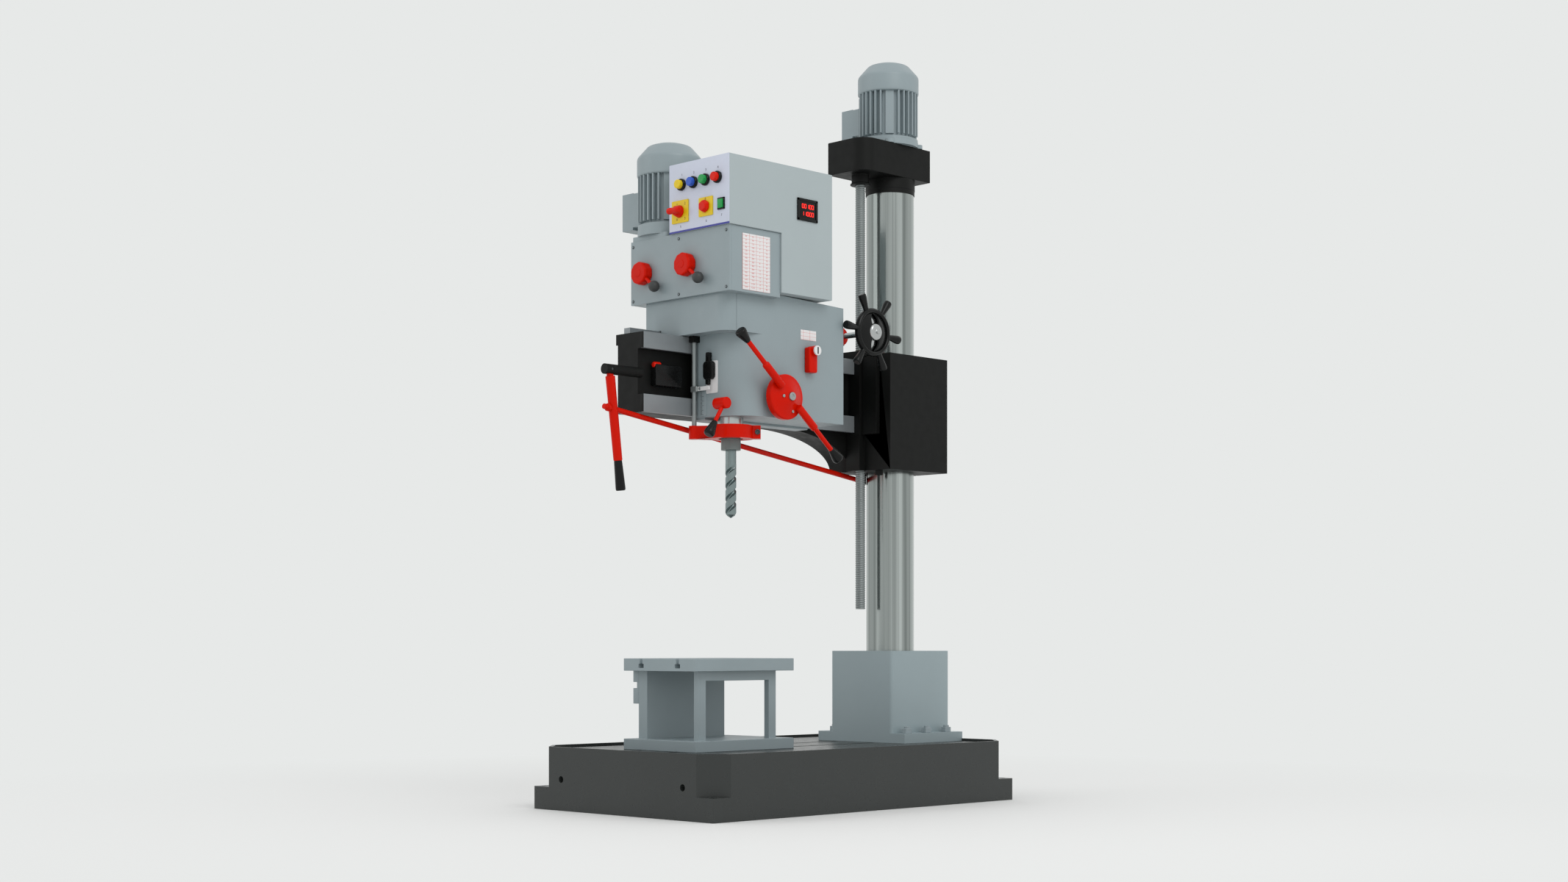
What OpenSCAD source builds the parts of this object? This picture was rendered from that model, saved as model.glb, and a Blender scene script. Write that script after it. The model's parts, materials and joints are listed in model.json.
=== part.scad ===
// Radial arm drill: base, column, swinging arm, sliding head and its drives.
// X runs across the machine, -Y points to the operator and +Z up.
// The origin is on the floor, at the centre of the base.

/* [Base] */
// Length of the base, along Y
base_length = 1300; // [1280:10:1500]
// Width of the base, along X
base_width = 778; // [700:2:900]
// Height of the base to the top of its rim
base_height = 188; // [170:1:230]
// Thickness of the outer walls and ribs of the base
base_wall = 22; // [16:1:30]
// Thickness of the deck
deck_thickness = 42; // [38:1:60]
// Depth of the machined deck below the rim
deck_drop = 8; // [4:1:12]
// Width of the rim round the deck
rim_width = 8; // [6:1:12]
// Width of the coolant channel inside the rim
channel_width = 26; // [16:1:34]
// Depth of the coolant channel
channel_depth = 14; // [8:1:20]
// Height of the feet at the corners
foot_height = 68; // [50:1:90]
// Leg of the triangle cut off each corner above the foot
corner_cut = 68; // [60:1:80]
// Distance of an anchor bolt from both edges of the base
anchor_inset = 22; // [20:1:24]
// Diameter of the anchor bolt holes
anchor_hole = 18; // [14:1:20]
// Diameter of the two drain holes in the front wall
drain_hole = 20; // [14:1:26]

/* [Table] */
// Width of the table plate
table_width = 312; // [290:2:340]
// Length of the table plate
table_length = 402; // [380:2:440]
// Place of the table's centre along Y
table_y = -299; // [-330:1:-280]
// Height of the table plate above the deck
table_height = 269.5; // [250:0.5:300]
// Thickness of the table plate
table_plate = 36.5; // [32:0.5:44]
// Thickness of the table foot
table_foot = 32; // [24:1:40]
// Inset of the table walls from the plate
table_inset = 26; // [20:1:32]
// Thickness of the closed wall on the left
table_wall = 38; // [30:1:44]
// Distance between the two T slots
slot_spacing = 158; // [140:2:180]
// Width of a T slot's neck
slot_neck = 12; // [10:1:16]
// Width of a T slot's undercut
slot_head = 22; // [20:1:28]

/* [Column] */
// Radius of the column
column_r = 77; // [72:1:84]
// Wall of the column tube
column_wall = 20; // [14:1:26]
// Distance of the column behind the base's centre
column_y = 505; // [500:1:520]
// Height of the column's top above the floor
column_top = 1980; // [1900:5:2100]
// Width of the column block
block_width = 262; // [240:2:280]
// Length of the column block
block_length = 280; // [260:2:284]
// Height of the column block above the deck
block_height = 290; // [250:5:330]
// Width of the column block's foot
block_foot_width = 374; // [350:2:400]
// Thickness of the column block's foot
block_foot = 30; // [24:1:36]

/* [Lifting screw] */
// Radius of the lifting screw
screw_r = 16; // [14:1:18]
// Distance from the column's axis to the screw's axis
screw_offset = 142; // [138:1:148]
// Height of the screw's free end above the floor
screw_bottom = 603; // [560:1:640]

/* [Drive block] */
// Width of the drive block
drive_width = 158; // [150:2:180]
// Length of the drive block
drive_length = 316; // [300:2:340]
// Height of the drive block
drive_height = 104; // [90:1:120]
// Radius of the drive block's corner beside the head
drive_corner = 50; // [30:1:60]
// Height of the collar on the column's top
collar_height = 49; // [40:1:60]
// Wall of the collar
collar_wall = 3; // [2.5:0.5:8]

/* [Motors] */
// Radius of a motor cowl
cowl_r = 98; // [90:1:104]
// Height of a motor cowl
cowl_height = 104; // [90:1:110]
// Height of the cowl's sloping crown
crown_height = 47; // [40:1:54]
// Length of the cooling fins
fin_length = 137; // [125:1:150]
// Radius to the fin tips
fin_r = 97.5; // [86:0.5:98]
// Radius of the motor's core
core_r = 80; // [72:1:84]
// Thickness of a fin
fin_thickness = 4.5; // [3:0.5:6]
// Fins in one of the four groups
fin_count = 6; // [4:1:7]

/* [Arm] */
// Height of the arm's underside above the floor, at rest
arm_z = 1165; // [1140:1:1190]
// Height of the arm's section
arm_height = 233; // [220:1:250]
// Depth of the arm's section, along X
arm_depth = 114; // [108:1:120]
// Length of the arm in front of its root
arm_length = 894; // [880:2:960]
// Height of the lower way
lower_way_height = 52; // [44:1:60]
// Height of the upper way
upper_way_height = 48; // [40:1:56]
// Thickness of both ways
way_thickness = 14; // [10:1:18]
// Depth of the recess between the ways
recess_depth = 26; // [20:1:30]
// Thickness of the arm's walls
arm_wall = 20; // [14:1:28]
// Drop of the gusset below the arm, at the root
gusset_drop = 120; // [100:1:121]
// Width of the gusset
gusset_width = 88; // [70:1:88]
// Height of the guide rail on the arm's top
rail_height = 23; // [18:1:26]
// Width of the guide rail
rail_width = 26.5; // [22:0.5:30]

/* [Arm clamp] */
// Width of the arm clamp
clamp_width = 262; // [240:2:280]
// Length of the arm clamp, along Y
clamp_length = 276; // [260:2:290]
// Height of the arm clamp
clamp_height = 367; // [350:1:380]

/* [Head] */
// Width of the head casting, along X
head_width = 188; // [180:1:200]
// Length of the head casting, along Y
head_length = 441; // [430:1:450]
// Place of the head's front face along Y, at rest
head_front = -357; // [-370:1:-345]
// Radius of the head's corner beside the quill
head_corner = 100; // [60:1:110]
// How far the neck stands in front of the head's face
neck_overhang = 51; // [44:1:56]
// Height of the gearbox
gearbox_height = 190; // [180:1:200]
// Width of the gearbox
gearbox_width = 427; // [420:1:440]
// Depth of the gearbox with its cover
gearbox_depth = 206.5; // [200:0.5:212]
// Thickness of the gearbox cover
cover_thickness = 7.5; // [5:0.5:12]
// Height of the electrical box above the gearbox
ebox_height = 202; // [190:1:220]
// Width of the electrical box
ebox_width = 254; // [250:1:260]
// Sheet thickness of the electrical box
ebox_sheet = 2.5; // [2:0.5:4]

/* [Quill and spindle] */
// Radius of the quill
quill_r = 37; // [34:1:39]
// Distance of the quill's axis from the arm's ways
quill_x = 94; // [90:1:98]
// Distance of the quill's axis behind the head's face
quill_inset = 57; // [54:1:62]
// Radius of the spindle nose
nose_r = 29; // [26:1:32]
// Radius of the drill
drill_r = 16; // [12:1:18]
// Length of the drill below the spindle nose
drill_length = 199.5; // [170:0.5:215]
// Radius of the red clamp ring
ring_r = 66; // [58:1:70]
// Radius of the depth rod
depth_rod_r = 6.2; // [5:0.1:7]

/* [Controls] */
// Radius of the feed wheel's disc
feed_disc_r = 67; // [60:1:70]
// Length of a feed lever from the wheel's axis
feed_lever_length = 270; // [240:1:275]
// Radius of the traverse handwheel's rim
traverse_rim_r = 74; // [66:1:80]
// Radius to the tips of the handwheel's grips
traverse_tip_r = 122; // [110:1:124]
// Radius of the two speed selector knobs
selector_r = 34.5; // [30:0.5:38]
// Radius of a push button
button_r = 13; // [11:0.5:14]

/* [Fits] */
// Radial clearance of a running fit
running = 0.05; // [0.02:0.01:0.1]
// Gap between two pieces that slide past each other
sliding = 0.3; // [0.2:0.05:0.5]

/* [Hidden] */
$fn = 64;

deck_z = base_height - deck_drop;
bay_top = deck_z - deck_thickness;
base_slot_neck = 18;
base_slot_head = 30;
base_slot_depth = 28;
anchor_x = base_width / 2 - anchor_inset;
anchor_y = base_length / 2 - anchor_inset;

table_top = deck_z + table_height;
table_floor = deck_z + table_foot;
table_ceiling = table_top - table_plate;
table_front = table_y - table_length / 2;
table_rear = table_y + table_length / 2;
table_side = table_width / 2 - table_inset;
table_post = 20;
front_post = 30;
lintel = 28;
body_front = table_front + 36;
body_rear = table_rear - 50;

block_top = deck_z + block_height;
block_foot_top = deck_z + block_foot;
column_seat = deck_z + 10;
stud_r = 9;
stud_inset = 26;
stud_pitch = 95;
nut_height = 15;

bearing_gap = 0.3;
drive_z = column_top + 9;
drive_top = drive_z + drive_height;
drive_front = column_y - 209;
screw_y = column_y - screw_offset;
screw_top = drive_z + 60;
boss_height = 34;
collar_r = column_r + collar_wall;

lift_base_height = 17;
lift_motor_y = column_y - 9;
lift_fin_z = drive_top + 33;
ear_r = 14;

arm_top = arm_z + arm_height;
root_y = column_y - 170;
arm_end = root_y - arm_length;
clamp_front = column_y - 145;
clamp_bottom = arm_z - 121;
clamp_top = clamp_bottom + clamp_height;
root_top = arm_top + 26;
nut_r = screw_r + 4;
nut_depth = 44;
arm_lip = 31;
rail_x = -122;
rail_inset = 31;
rail_top = arm_top + rail_height;
lever_x = -15;
bar_r = 15;
bar_z = arm_z + 113;
lever_pin_y = arm_end - 117;
lever_lean = 7;
lever_length = 262;
lever_r = 13;
lever_slot = 14;
lever_pin_r = 4;
rod_r = 8;
rod_hole_drop = 112;
rod_slot_x = rod_r + 2.4;
rod_slot_z = rod_r + 9;
rod_front = [lever_x, arm_end - 105, arm_z + 1];
rod_rear = [-84, column_y - 48, clamp_bottom - 22];
anchor_half = 12;
rod_tail = 36;
rod_way = (rod_rear - rod_front) / norm(rod_rear - rod_front);

head_rear = head_front + head_length;
head_bottom = arm_z - 6;
neck_bottom = arm_top + 2;
neck_front = head_front - neck_overhang;
neck_left = -159;
gearbox_z = arm_top + 110;
gearbox_top = gearbox_z + gearbox_height;
gearbox_right = 216;
gearbox_left = gearbox_right - gearbox_width;
gearbox_front = head_front - 65.5;
gearbox_rear = gearbox_front + gearbox_depth;
gearbox_wall = 12;
ridge_z = gearbox_z + 15;
ebox_right = 222;
ebox_left = ebox_right - ebox_width;
ebox_front = gearbox_front - 5.5;
ebox_rear = head_rear - 85;
ebox_step = gearbox_rear;
ebox_inner_left = 20;
ebox_top = gearbox_top + ebox_height;
panel_thickness = 2;
panel_face = ebox_front - panel_thickness;

main_motor_x = -131;
main_motor_y = gearbox_front + 83.5;
main_base_height = 34;
main_fin_z = gearbox_top + 55;

quill_y = head_front + quill_inset;
quill_bottom = head_bottom - 52;
quill_top = arm_top + 30;
ring_height = 39;
ring_bottom = quill_bottom - 11;
nose_bottom = quill_bottom - 44.5;
spindle_r = 20;
spindle_top = gearbox_z - 20;
depth_rod_x = 10;
depth_rod_y = head_front - 12;
depth_rod_top = gearbox_z - 8;

feed_y = quill_y + 100;
feed_z = head_bottom + 58.5;
feed_shaft_r = 10;
feed_gear_r = 15;
idler_r = 20;
idler_shaft_r = 6;
pinion_r = 24;
pinion_shaft_r = 8;
pinion_y = quill_y + quill_r + pinion_r;
idler_y = (pinion_y + feed_y) / 2;
idler_z = feed_z + sqrt(pow(feed_gear_r + idler_r + sliding, 2) - pow((feed_y - pinion_y) / 2, 2));
room_left = quill_x - 19;
room_right = head_width - 23;
selector_lever_y = feed_y + 136;
selector_lever_z = feed_z + 150;
clamp_hub_left = 122;
clamp_hub_right = 171;
clamp_hub_y = head_front - 30;
clamp_hub_z = head_bottom + 32;
clamp_angle = 237;
feed_face = head_width + 41;
feed_lever_x = head_width + 54;
feed_angle = 140;
feed_grip = 46;

traverse_y = head_rear + 115;
traverse_z = rail_top + 29;
traverse_pinion_r = 29 - sliding;
traverse_shaft_r = 9;
traverse_x = 217;

button_z = ebox_top - 64;
button_x = [23, 74, 125, 176];
button_travel = 4;
switch_z = gearbox_top + 60;
lever_switch_x = 17.6;
round_switch_x = 127;
rocker_x = 191;
rocker_half_x = 10;
rocker_half_z = 13;
rocker_pin_r = 1.2;
plate_thickness = 4;
switch_shaft_r = 4;
selector_depth = 30;
left_selector_x = -147.5;
right_selector_x = 42.3;
selector_z = gearbox_z + 88;

grey_paint = [0.55, 0.6, 0.62];
black_paint = [0.15, 0.16, 0.16];
base_paint = [0.26, 0.27, 0.26];
red_paint = [0.82, 0.14, 0.08];
bright_steel = [0.75, 0.77, 0.78];
machined = [0.45, 0.48, 0.5];

// Box between two corners
module span(low, high) translate(low) cube(high - low);

// Cylinder of radius r from one height to another
module post(r, low, high) translate([0, 0, low]) cylinder(r = r, h = high - low);

// Cylinder along +X of radius r between two X values
module x_bar(r, from, to) translate([from, 0, 0]) rotate([0, 90, 0]) cylinder(r = r, h = to - from);

// Cylinder along +Y of radius r between two Y values
module y_bar(r, from, to) translate([0, from, 0]) rotate([-90, 0, 0]) cylinder(r = r, h = to - from);

// Rectangle with its four corners cut off at 45 degrees
module cut_rectangle(half_x, half_y, leg) {
    polygon([[half_x - leg, -half_y], [half_x, leg - half_y], [half_x, half_y - leg],
        [half_x - leg, half_y], [leg - half_x, half_y], [-half_x, half_y - leg],
        [-half_x, leg - half_y], [leg - half_x, -half_y]]);
}

// T slot along Y, open at the top at z = 0
module t_slot(neck, head, neck_depth, depth, from, to) {
    span([-neck / 2, from, -neck_depth - 1], [neck / 2, to, 1]);
    span([-head / 2, from, -depth], [head / 2, to, -neck_depth]);
}

// Cylinder between two points in space
module strut(r, from, to) {
    way = to - from;
    translate(from)
        rotate([0, acos(way[2] / norm(way)), atan2(way[1], way[0])]) cylinder(r = r, h = norm(way));
}

// Underside of the base: one cavity between the walls, parted by ribs
module base_bays() {
    inner_cut = corner_cut + 2 * base_wall * (1 / sqrt(2) - 1) + 2;
    difference() {
        translate([0, 0, -1]) linear_extrude(bay_top + 1)
            cut_rectangle(base_width / 2 - base_wall, base_length / 2 - base_wall, inner_cut);
        for (x = [-1, 0, 1] * base_width / 4)
            span([x - base_wall / 2, -base_length / 2, -2], [x + base_wall / 2, base_length / 2, bay_top + 1]);
        for (y = [-2 : 2])
            span([-base_width / 2, y * base_length / 6 - base_wall / 2, -2],
                [base_width / 2, y * base_length / 6 + base_wall / 2, bay_top + 1]);
    }
}

module base_casting() color(base_paint) difference() {
    union() {
        linear_extrude(base_height) cut_rectangle(base_width / 2, base_length / 2, corner_cut);
        span([-base_width / 2, -base_length / 2, 0], [base_width / 2, base_length / 2, foot_height]);
    }
    base_bays();
    span([-block_foot_width / 2, column_y - block_length / 2, deck_z],
        [block_foot_width / 2, column_y + block_length / 2, base_height + 1]);
    translate([0, 0, deck_z]) linear_extrude(deck_drop + 1)
        cut_rectangle(base_width / 2 - rim_width, base_length / 2 - rim_width, corner_cut);
    difference() {
        translate([0, 0, deck_z - channel_depth]) linear_extrude(channel_depth + 1)
            cut_rectangle(base_width / 2 - rim_width, base_length / 2 - rim_width, corner_cut);
        translate([0, 0, deck_z - channel_depth - 1]) linear_extrude(channel_depth + 3)
            cut_rectangle(base_width / 2 - rim_width - channel_width,
                base_length / 2 - rim_width - channel_width, corner_cut - 12);
    }
    for (x = [-anchor_x, anchor_x], y = [-anchor_y, anchor_y])
        translate([x, y, 0]) post(anchor_hole / 2, -1, foot_height + 1);
    for (x = [-264.5, 264.5])
        translate([x, 0, 92.4]) y_bar(drain_hole / 2, -base_length / 2 - 1, -base_length / 2 + base_wall + 1);
    for (x = [-slot_spacing / 2, slot_spacing / 2])
        translate([x, 0, deck_z])
            t_slot(base_slot_neck, base_slot_head, 14, base_slot_depth, table_front - 60, clamp_front - 20);
}

module work_table() color(grey_paint) difference() {
    union() {
        span([-table_width / 2, table_front, deck_z], [table_width / 2, table_rear, table_floor]);
        span([-table_width / 2, table_front, table_ceiling], [table_width / 2, table_rear, table_top]);
        span([-table_side, body_front, table_floor - 1], [table_side, body_rear, table_ceiling + 1]);
        span([-table_side - 24, body_front + 60, table_ceiling - 98],
            [-table_side + 1, body_rear - 60, table_ceiling]);
    }
    span([-table_side + table_wall, body_front - 1, table_floor],
        [table_side - table_post, body_rear + 1, table_ceiling]);
    span([table_side - table_post - 1, body_front + front_post, table_floor],
        [table_side + 1, body_rear - front_post, table_ceiling - lintel]);
    for (x = [-slot_spacing / 2, slot_spacing / 2])
        translate([x, 0, table_top]) t_slot(slot_neck, slot_head, 16.5, 28, table_front - 1, table_rear + 1);
    translate([-table_side - 24, 0, table_ceiling - 43]) rotate([0, -90, 0])
        t_slot(slot_neck, slot_head - 4, 10, 18, body_front + 59, body_rear - 59);
}

module column_block() color(grey_paint) difference() {
    union() {
        translate([0, column_y, deck_z]) linear_extrude(block_height)
            offset_rectangle(block_width / 2, block_length / 2, 10);
        span([-block_foot_width / 2, column_y - block_length / 2, deck_z],
            [block_foot_width / 2, column_y + block_length / 2, block_foot_top]);
    }
    translate([0, column_y, 0]) post(column_r, column_seat, block_top + 1);
    for (side = [-1, 1], i = [-1, 0, 1])
        translate([side * (block_width / 2 + stud_inset), column_y + i * stud_pitch, 0])
            post(stud_r + 1, deck_z - 1, block_foot_top + 1);
}

// Rectangle with four round corners, built of bars and discs
module offset_rectangle(half_x, half_y, r) {
    square([2 * half_x - 2 * r, 2 * half_y], center = true);
    square([2 * half_x, 2 * half_y - 2 * r], center = true);
    for (x = [-1, 1], y = [-1, 1]) translate([x * (half_x - r), y * (half_y - r)]) circle(r);
}

module column_nuts() color(grey_paint)
    for (side = [-1, 1], i = [-1, 0, 1])
        translate([side * (block_width / 2 + stud_inset), column_y + i * stud_pitch, 0]) {
            translate([0, 0, block_foot_top]) cylinder(r = stud_r * 1.8, h = nut_height, $fn = 6);
            post(stud_r, deck_z, block_foot_top + nut_height + 6);
        }

module column() color(bright_steel) translate([0, column_y, 0]) difference() {
    post(column_r, column_seat, column_top);
    post(column_r - column_wall, column_seat + 30, column_top + 1);
}

module swing_bearing() color(bright_steel) translate([0, column_y, 0]) difference() {
    post(column_r - 2, column_top + bearing_gap, drive_z);
    post(column_r - 30, column_top, drive_z + 1);
}

module column_collar() color(black_paint) translate([0, column_y, 0]) difference() {
    union() {
        post(collar_r, drive_z - collar_height + 15, drive_z);
        post(collar_r - 1, drive_z - collar_height, drive_z - 10);
    }
    post(column_r + running, drive_z - collar_height - 1, drive_z + 1);
}

module drive_block() color(black_paint) difference() {
    union() {
        span([-drive_width / 2, drive_front + drive_corner, drive_z],
            [drive_width / 2, drive_front + drive_length, drive_top]);
        span([-drive_width / 2, drive_front, drive_z],
            [drive_width / 2 - drive_corner, drive_front + drive_corner + 1, drive_top]);
        translate([drive_width / 2 - drive_corner, drive_front + drive_corner, 0])
            post(drive_corner, drive_z, drive_top);
        translate([0, screw_y, 0]) post(28, drive_z - boss_height, drive_z + 1);
        translate([0, screw_y, 0]) post(32, drive_z - boss_height, drive_z - boss_height + 6);
    }
    translate([0, screw_y, 0]) post(screw_r + running, drive_z - boss_height - 1, screw_top + 1);
}

module lifting_screw() color(machined) translate([0, screw_y, 0]) post(screw_r, screw_bottom, screw_top);

// Finned motor case: core, four groups of fins and four plain strips
module motor_case(low, fin_low) {
    post(core_r, low, fin_low + fin_length);
    for (side = [0 : 3]) {
        for (i = [0 : fin_count - 1])
            rotate(side * 90 + (i - (fin_count - 1) / 2) * 11)
                span([core_r - 8, -fin_thickness / 2, fin_low], [fin_r, fin_thickness / 2, fin_low + fin_length]);
        rotate(side * 90 + 45) span([core_r - 10, -13, fin_low], [core_r + 7, 13, fin_low + fin_length]);
    }
    post(fin_r - 2, low, fin_low - 8);
}

// Fan cowl: a skirt, a sloping crown and a flat top
module motor_cowl(low) {
    skirt = cowl_height - crown_height;
    translate([0, 0, low]) rotate_extrude() polygon([[0, 0], [cowl_r, 0], [cowl_r, skirt],
        [cowl_r - 33, skirt + crown_height - 10], [cowl_r - 59, skirt + crown_height - 2],
        [0, skirt + crown_height]]);
}

// Terminal box on a motor's left side
module motor_box(middle_z, half_z) {
    half_y = 45;
    span([-core_r - 36, -half_y, middle_z - half_z + 8], [-core_r + 6, half_y, middle_z + half_z - 2]);
    span([-core_r - 84, -half_y, middle_z - half_z], [-core_r - 36, half_y, middle_z + half_z]);
}

module lift_motor_case() color(grey_paint) translate([0, lift_motor_y, 0]) {
    post(fin_r - 1, drive_top, drive_top + lift_base_height);
    for (turn = [45 : 90 : 315]) rotate(turn) translate([fin_r - 1, 0, 0])
        post(ear_r, drive_top, drive_top + 12);
    motor_case(drive_top + lift_base_height - 1, lift_fin_z);
}
module lift_motor_cowl() color(grey_paint) translate([0, lift_motor_y, 0]) motor_cowl(lift_fin_z + fin_length);
module lift_motor_box() color(grey_paint) translate([0, lift_motor_y, 0]) difference() {
    motor_box(lift_fin_z + 60, 48);
    motor_envelope(lift_fin_z);
}

// Room that the terminal box leaves for the case and its fins
module motor_envelope(fin_low) post(fin_r + sliding, fin_low - 40, fin_low + fin_length + 1);

module main_motor_case() color(grey_paint) translate([main_motor_x, main_motor_y, 0]) {
    translate([0, 0, gearbox_top]) linear_extrude(14) offset_rectangle(80, 82, 12);
    post(cowl_r - 2, gearbox_top + 13, gearbox_top + main_base_height);
    motor_case(gearbox_top + main_base_height - 1, main_fin_z);
}
module main_motor_cowl() color(grey_paint) translate([main_motor_x, main_motor_y, 0])
    motor_cowl(main_fin_z + fin_length);
module main_motor_box() color(grey_paint) translate([main_motor_x, main_motor_y, 0]) difference() {
    motor_box(main_fin_z + 49, 56);
    motor_envelope(main_fin_z);
}

module arm_clamp() color(black_paint) difference() {
    union() {
        span([-clamp_width / 2, clamp_front, clamp_bottom],
            [clamp_width / 2, clamp_front + clamp_length, clamp_top]);
        span([-125, root_y, arm_z], [22, clamp_front + 32, root_top]);
        span([-36, root_y, clamp_bottom], [22, clamp_front + 1, arm_z + 1]);
        span([22.5, clamp_front - 15, arm_z - 7], [85, clamp_front + 1, arm_top + 7]);
        translate([70, clamp_front + 15, 0]) post(12, clamp_bottom - 16, clamp_bottom + 1);
    }
    translate([0, column_y, 0]) post(column_r + running, clamp_bottom - 1, clamp_top + 1);
    translate([0, screw_y, 0]) post(screw_r + 2, clamp_bottom - 1, root_top + 1);
    translate([0, screw_y, 0]) post(nut_r, root_top - nut_depth, root_top + 1);
    span([-3, column_y + column_r - 5, clamp_bottom - 1], [3, clamp_front + clamp_length + 1, clamp_top + 1]);
}

module lift_nut() color([0.72, 0.55, 0.3]) translate([0, screw_y, 0]) difference() {
    post(nut_r, root_top - nut_depth, root_top);
    post(screw_r + running, root_top - nut_depth - 1, root_top + 1);
}

// Gusset under the arm's root: its underside is a quarter of an ellipse
module gusset() {
    run = clamp_front - 7;
    steps = 24;
    curve = [for (i = [0 : steps]) [run * sin(90 * i / steps), gusset_drop * cos(90 * i / steps) - gusset_drop]];
    translate([-arm_depth - 11, 0, arm_z]) rotate([90, 0, 90]) linear_extrude(gusset_width)
        polygon(concat([[clamp_front, 0]], [[0, 0]], curve, [[clamp_front, -gusset_drop]]));
}

module arm_casting() color(black_paint) difference() {
    lower = arm_z + lower_way_height;
    upper = arm_top - upper_way_height;
    union() {
        translate([0, root_y, 0]) rotate([90, 0, 0]) linear_extrude(arm_length)
            polygon([[-way_thickness, arm_z], [-way_thickness, lower], [-recess_depth, lower],
                [-recess_depth, upper], [-way_thickness, upper], [-way_thickness, arm_top],
                [rail_x, arm_top], [rail_x, arm_top - arm_lip], [-arm_depth, arm_top - arm_lip],
                [-arm_depth, arm_z]]);
        gusset();
    }
    span([-arm_depth + arm_wall, arm_end + arm_wall, arm_z + arm_wall],
        [-recess_depth - arm_wall, root_y + 1, arm_top - arm_wall]);
}

module upper_way() color(machined)
    span([-way_thickness, arm_end, arm_top - upper_way_height], [0, root_y, arm_top]);
module lower_way() color(machined)
    span([-way_thickness, arm_end, arm_z], [0, root_y, arm_z + lower_way_height]);
module guide_rail() color(machined)
    span([rail_x, arm_end + rail_inset, arm_top], [rail_x + rail_width, root_y, rail_top]);

module arm_switch() color(black_paint) {
    span([-recess_depth, arm_end + 50, arm_z + 80], [-2, arm_end + 153, arm_z + 143]);
    translate([-13, arm_end + 73, arm_z + 141]) y_bar(9.5, -26, 0);
}

module lever_bar() color(black_paint) difference() {
    translate([lever_x, 0, bar_z]) y_bar(bar_r, lever_pin_y - 20, arm_end);
    span([lever_x - lever_slot / 2, lever_pin_y - 13.5, bar_z - bar_r - 5],
        [lever_x + lever_slot / 2, lever_pin_y + 13.5, bar_z + bar_r / 2]);
    translate([lever_x, lever_pin_y, bar_z]) x_bar(lever_pin_r + running, -bar_r, bar_r);
}

// Lever that hangs in the bar's slot, with a slot for the rod and a black grip
module clamp_lever() color(red_paint) translate([lever_x, lever_pin_y, bar_z]) rotate([lever_lean, 0, 0])
    difference() {
        union() {
            half = lever_slot / 2 - sliding;
            x_bar(bar_r / 2 - 1, -half, half);
            x_bar(lever_pin_r, -bar_r + 1, bar_r - 1);
            span([-half, -8, -30], [half, 8, 0]);
            post(lever_r, -lever_length, -bar_r - 6);
            post(lever_r - 1, -lever_length - 86, -lever_length);
        }
        rotate([-lever_lean, 0, 0])
            span([-rod_slot_x, -30, -rod_hole_drop - rod_slot_z], [rod_slot_x, 30, -rod_hole_drop + rod_slot_z]);
    }

module clamp_rod() color(red_paint) {
    strut(rod_r, rod_front - rod_tail * rod_way, rod_rear);
    strut(rod_r + 3.5, rod_front - 23 * rod_way, rod_front - 14 * rod_way);
}

module rod_anchor() color(black_paint) difference() {
    span([rod_rear[0] - anchor_half, rod_rear[1] - anchor_half, rod_rear[2] - anchor_half],
        [rod_rear[0] + anchor_half, rod_rear[1] + anchor_half, clamp_bottom]);
    strut(rod_r + running, rod_front, rod_rear + 34 * rod_way);
}

// Plan of the head below the neck, with the large corner round the quill
module head_plan(front, corner) {
    half = head_width / 2;
    difference() {
        translate([sliding, front]) square([head_width - sliding, head_rear - front]);
        translate([head_width - corner, front]) square([corner + 1, corner]);
    }
    intersection() {
        translate([head_width - corner, front + corner]) circle(corner);
        translate([sliding, front]) square([head_width, corner + 1]);
    }
}

module head_casting() color(grey_paint) difference() {
    union() {
        translate([0, 0, head_bottom]) linear_extrude(neck_bottom - head_bottom + 1)
            head_plan(head_front, head_corner);
        translate([0, 0, neck_bottom]) linear_extrude(gearbox_z - neck_bottom) head_plan(neck_front, 42);
        span([neck_left, neck_front, neck_bottom], [1, gearbox_rear, gearbox_z]);
        translate([sliding, 0, 0]) rotate([90, 0, 90]) linear_extrude(head_width - sliding)
            polygon([[gearbox_rear + 1, gearbox_z - 1], [gearbox_rear + 1, ridge_z],
                [head_rear, ridge_z - 11], [head_rear, gearbox_z - 1]]);
        translate([clamp_hub_left - 9, 0, clamp_hub_z]) y_bar(8, clamp_hub_y - 8, head_front + 20);
        clamp_pin(6, clamp_hub_left - 9);
    }
    span([rail_x - 3, neck_front - 1, neck_bottom - 1], [rail_x + rail_width + 3, gearbox_rear + 1, rail_top + 2]);
    span([25, gearbox_rear + 60, head_bottom + 30], [head_width - 20, ebox_rear - 20, ridge_z + 1]);
    translate([quill_x, quill_y, 0]) post(quill_r + running, head_bottom - 1, gearbox_z + 1);
    translate([depth_rod_x, depth_rod_y, 0]) post(depth_rod_r + running, neck_bottom - 1, gearbox_z + 1);
    span([room_left, quill_y + 25, feed_z - 30], [room_right, feed_y + 30, feed_z + 62]);
    translate([0, feed_y, feed_z]) x_bar(feed_shaft_r + running, room_left - 10, head_width + 1);
    translate([0, pinion_y, feed_z]) x_bar(pinion_shaft_r + running, room_left - 10, room_right + 10);
    translate([0, idler_y, idler_z]) x_bar(idler_shaft_r + running, room_right - 1, room_right + 10);
    translate([0, selector_lever_y, selector_lever_z]) x_bar(6 + running, head_width - 14, head_width + 1);
}

module head_keeper() color(grey_paint)
    translate([0, head_rear - 4, 0]) rotate([90, 0, 0]) linear_extrude(head_length - 6)
        polygon([[-way_thickness, head_bottom - 6], [40, head_bottom - 6], [40, head_bottom],
            [sliding, head_bottom], [sliding, arm_z - sliding], [-way_thickness, arm_z - sliding]]);

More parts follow.
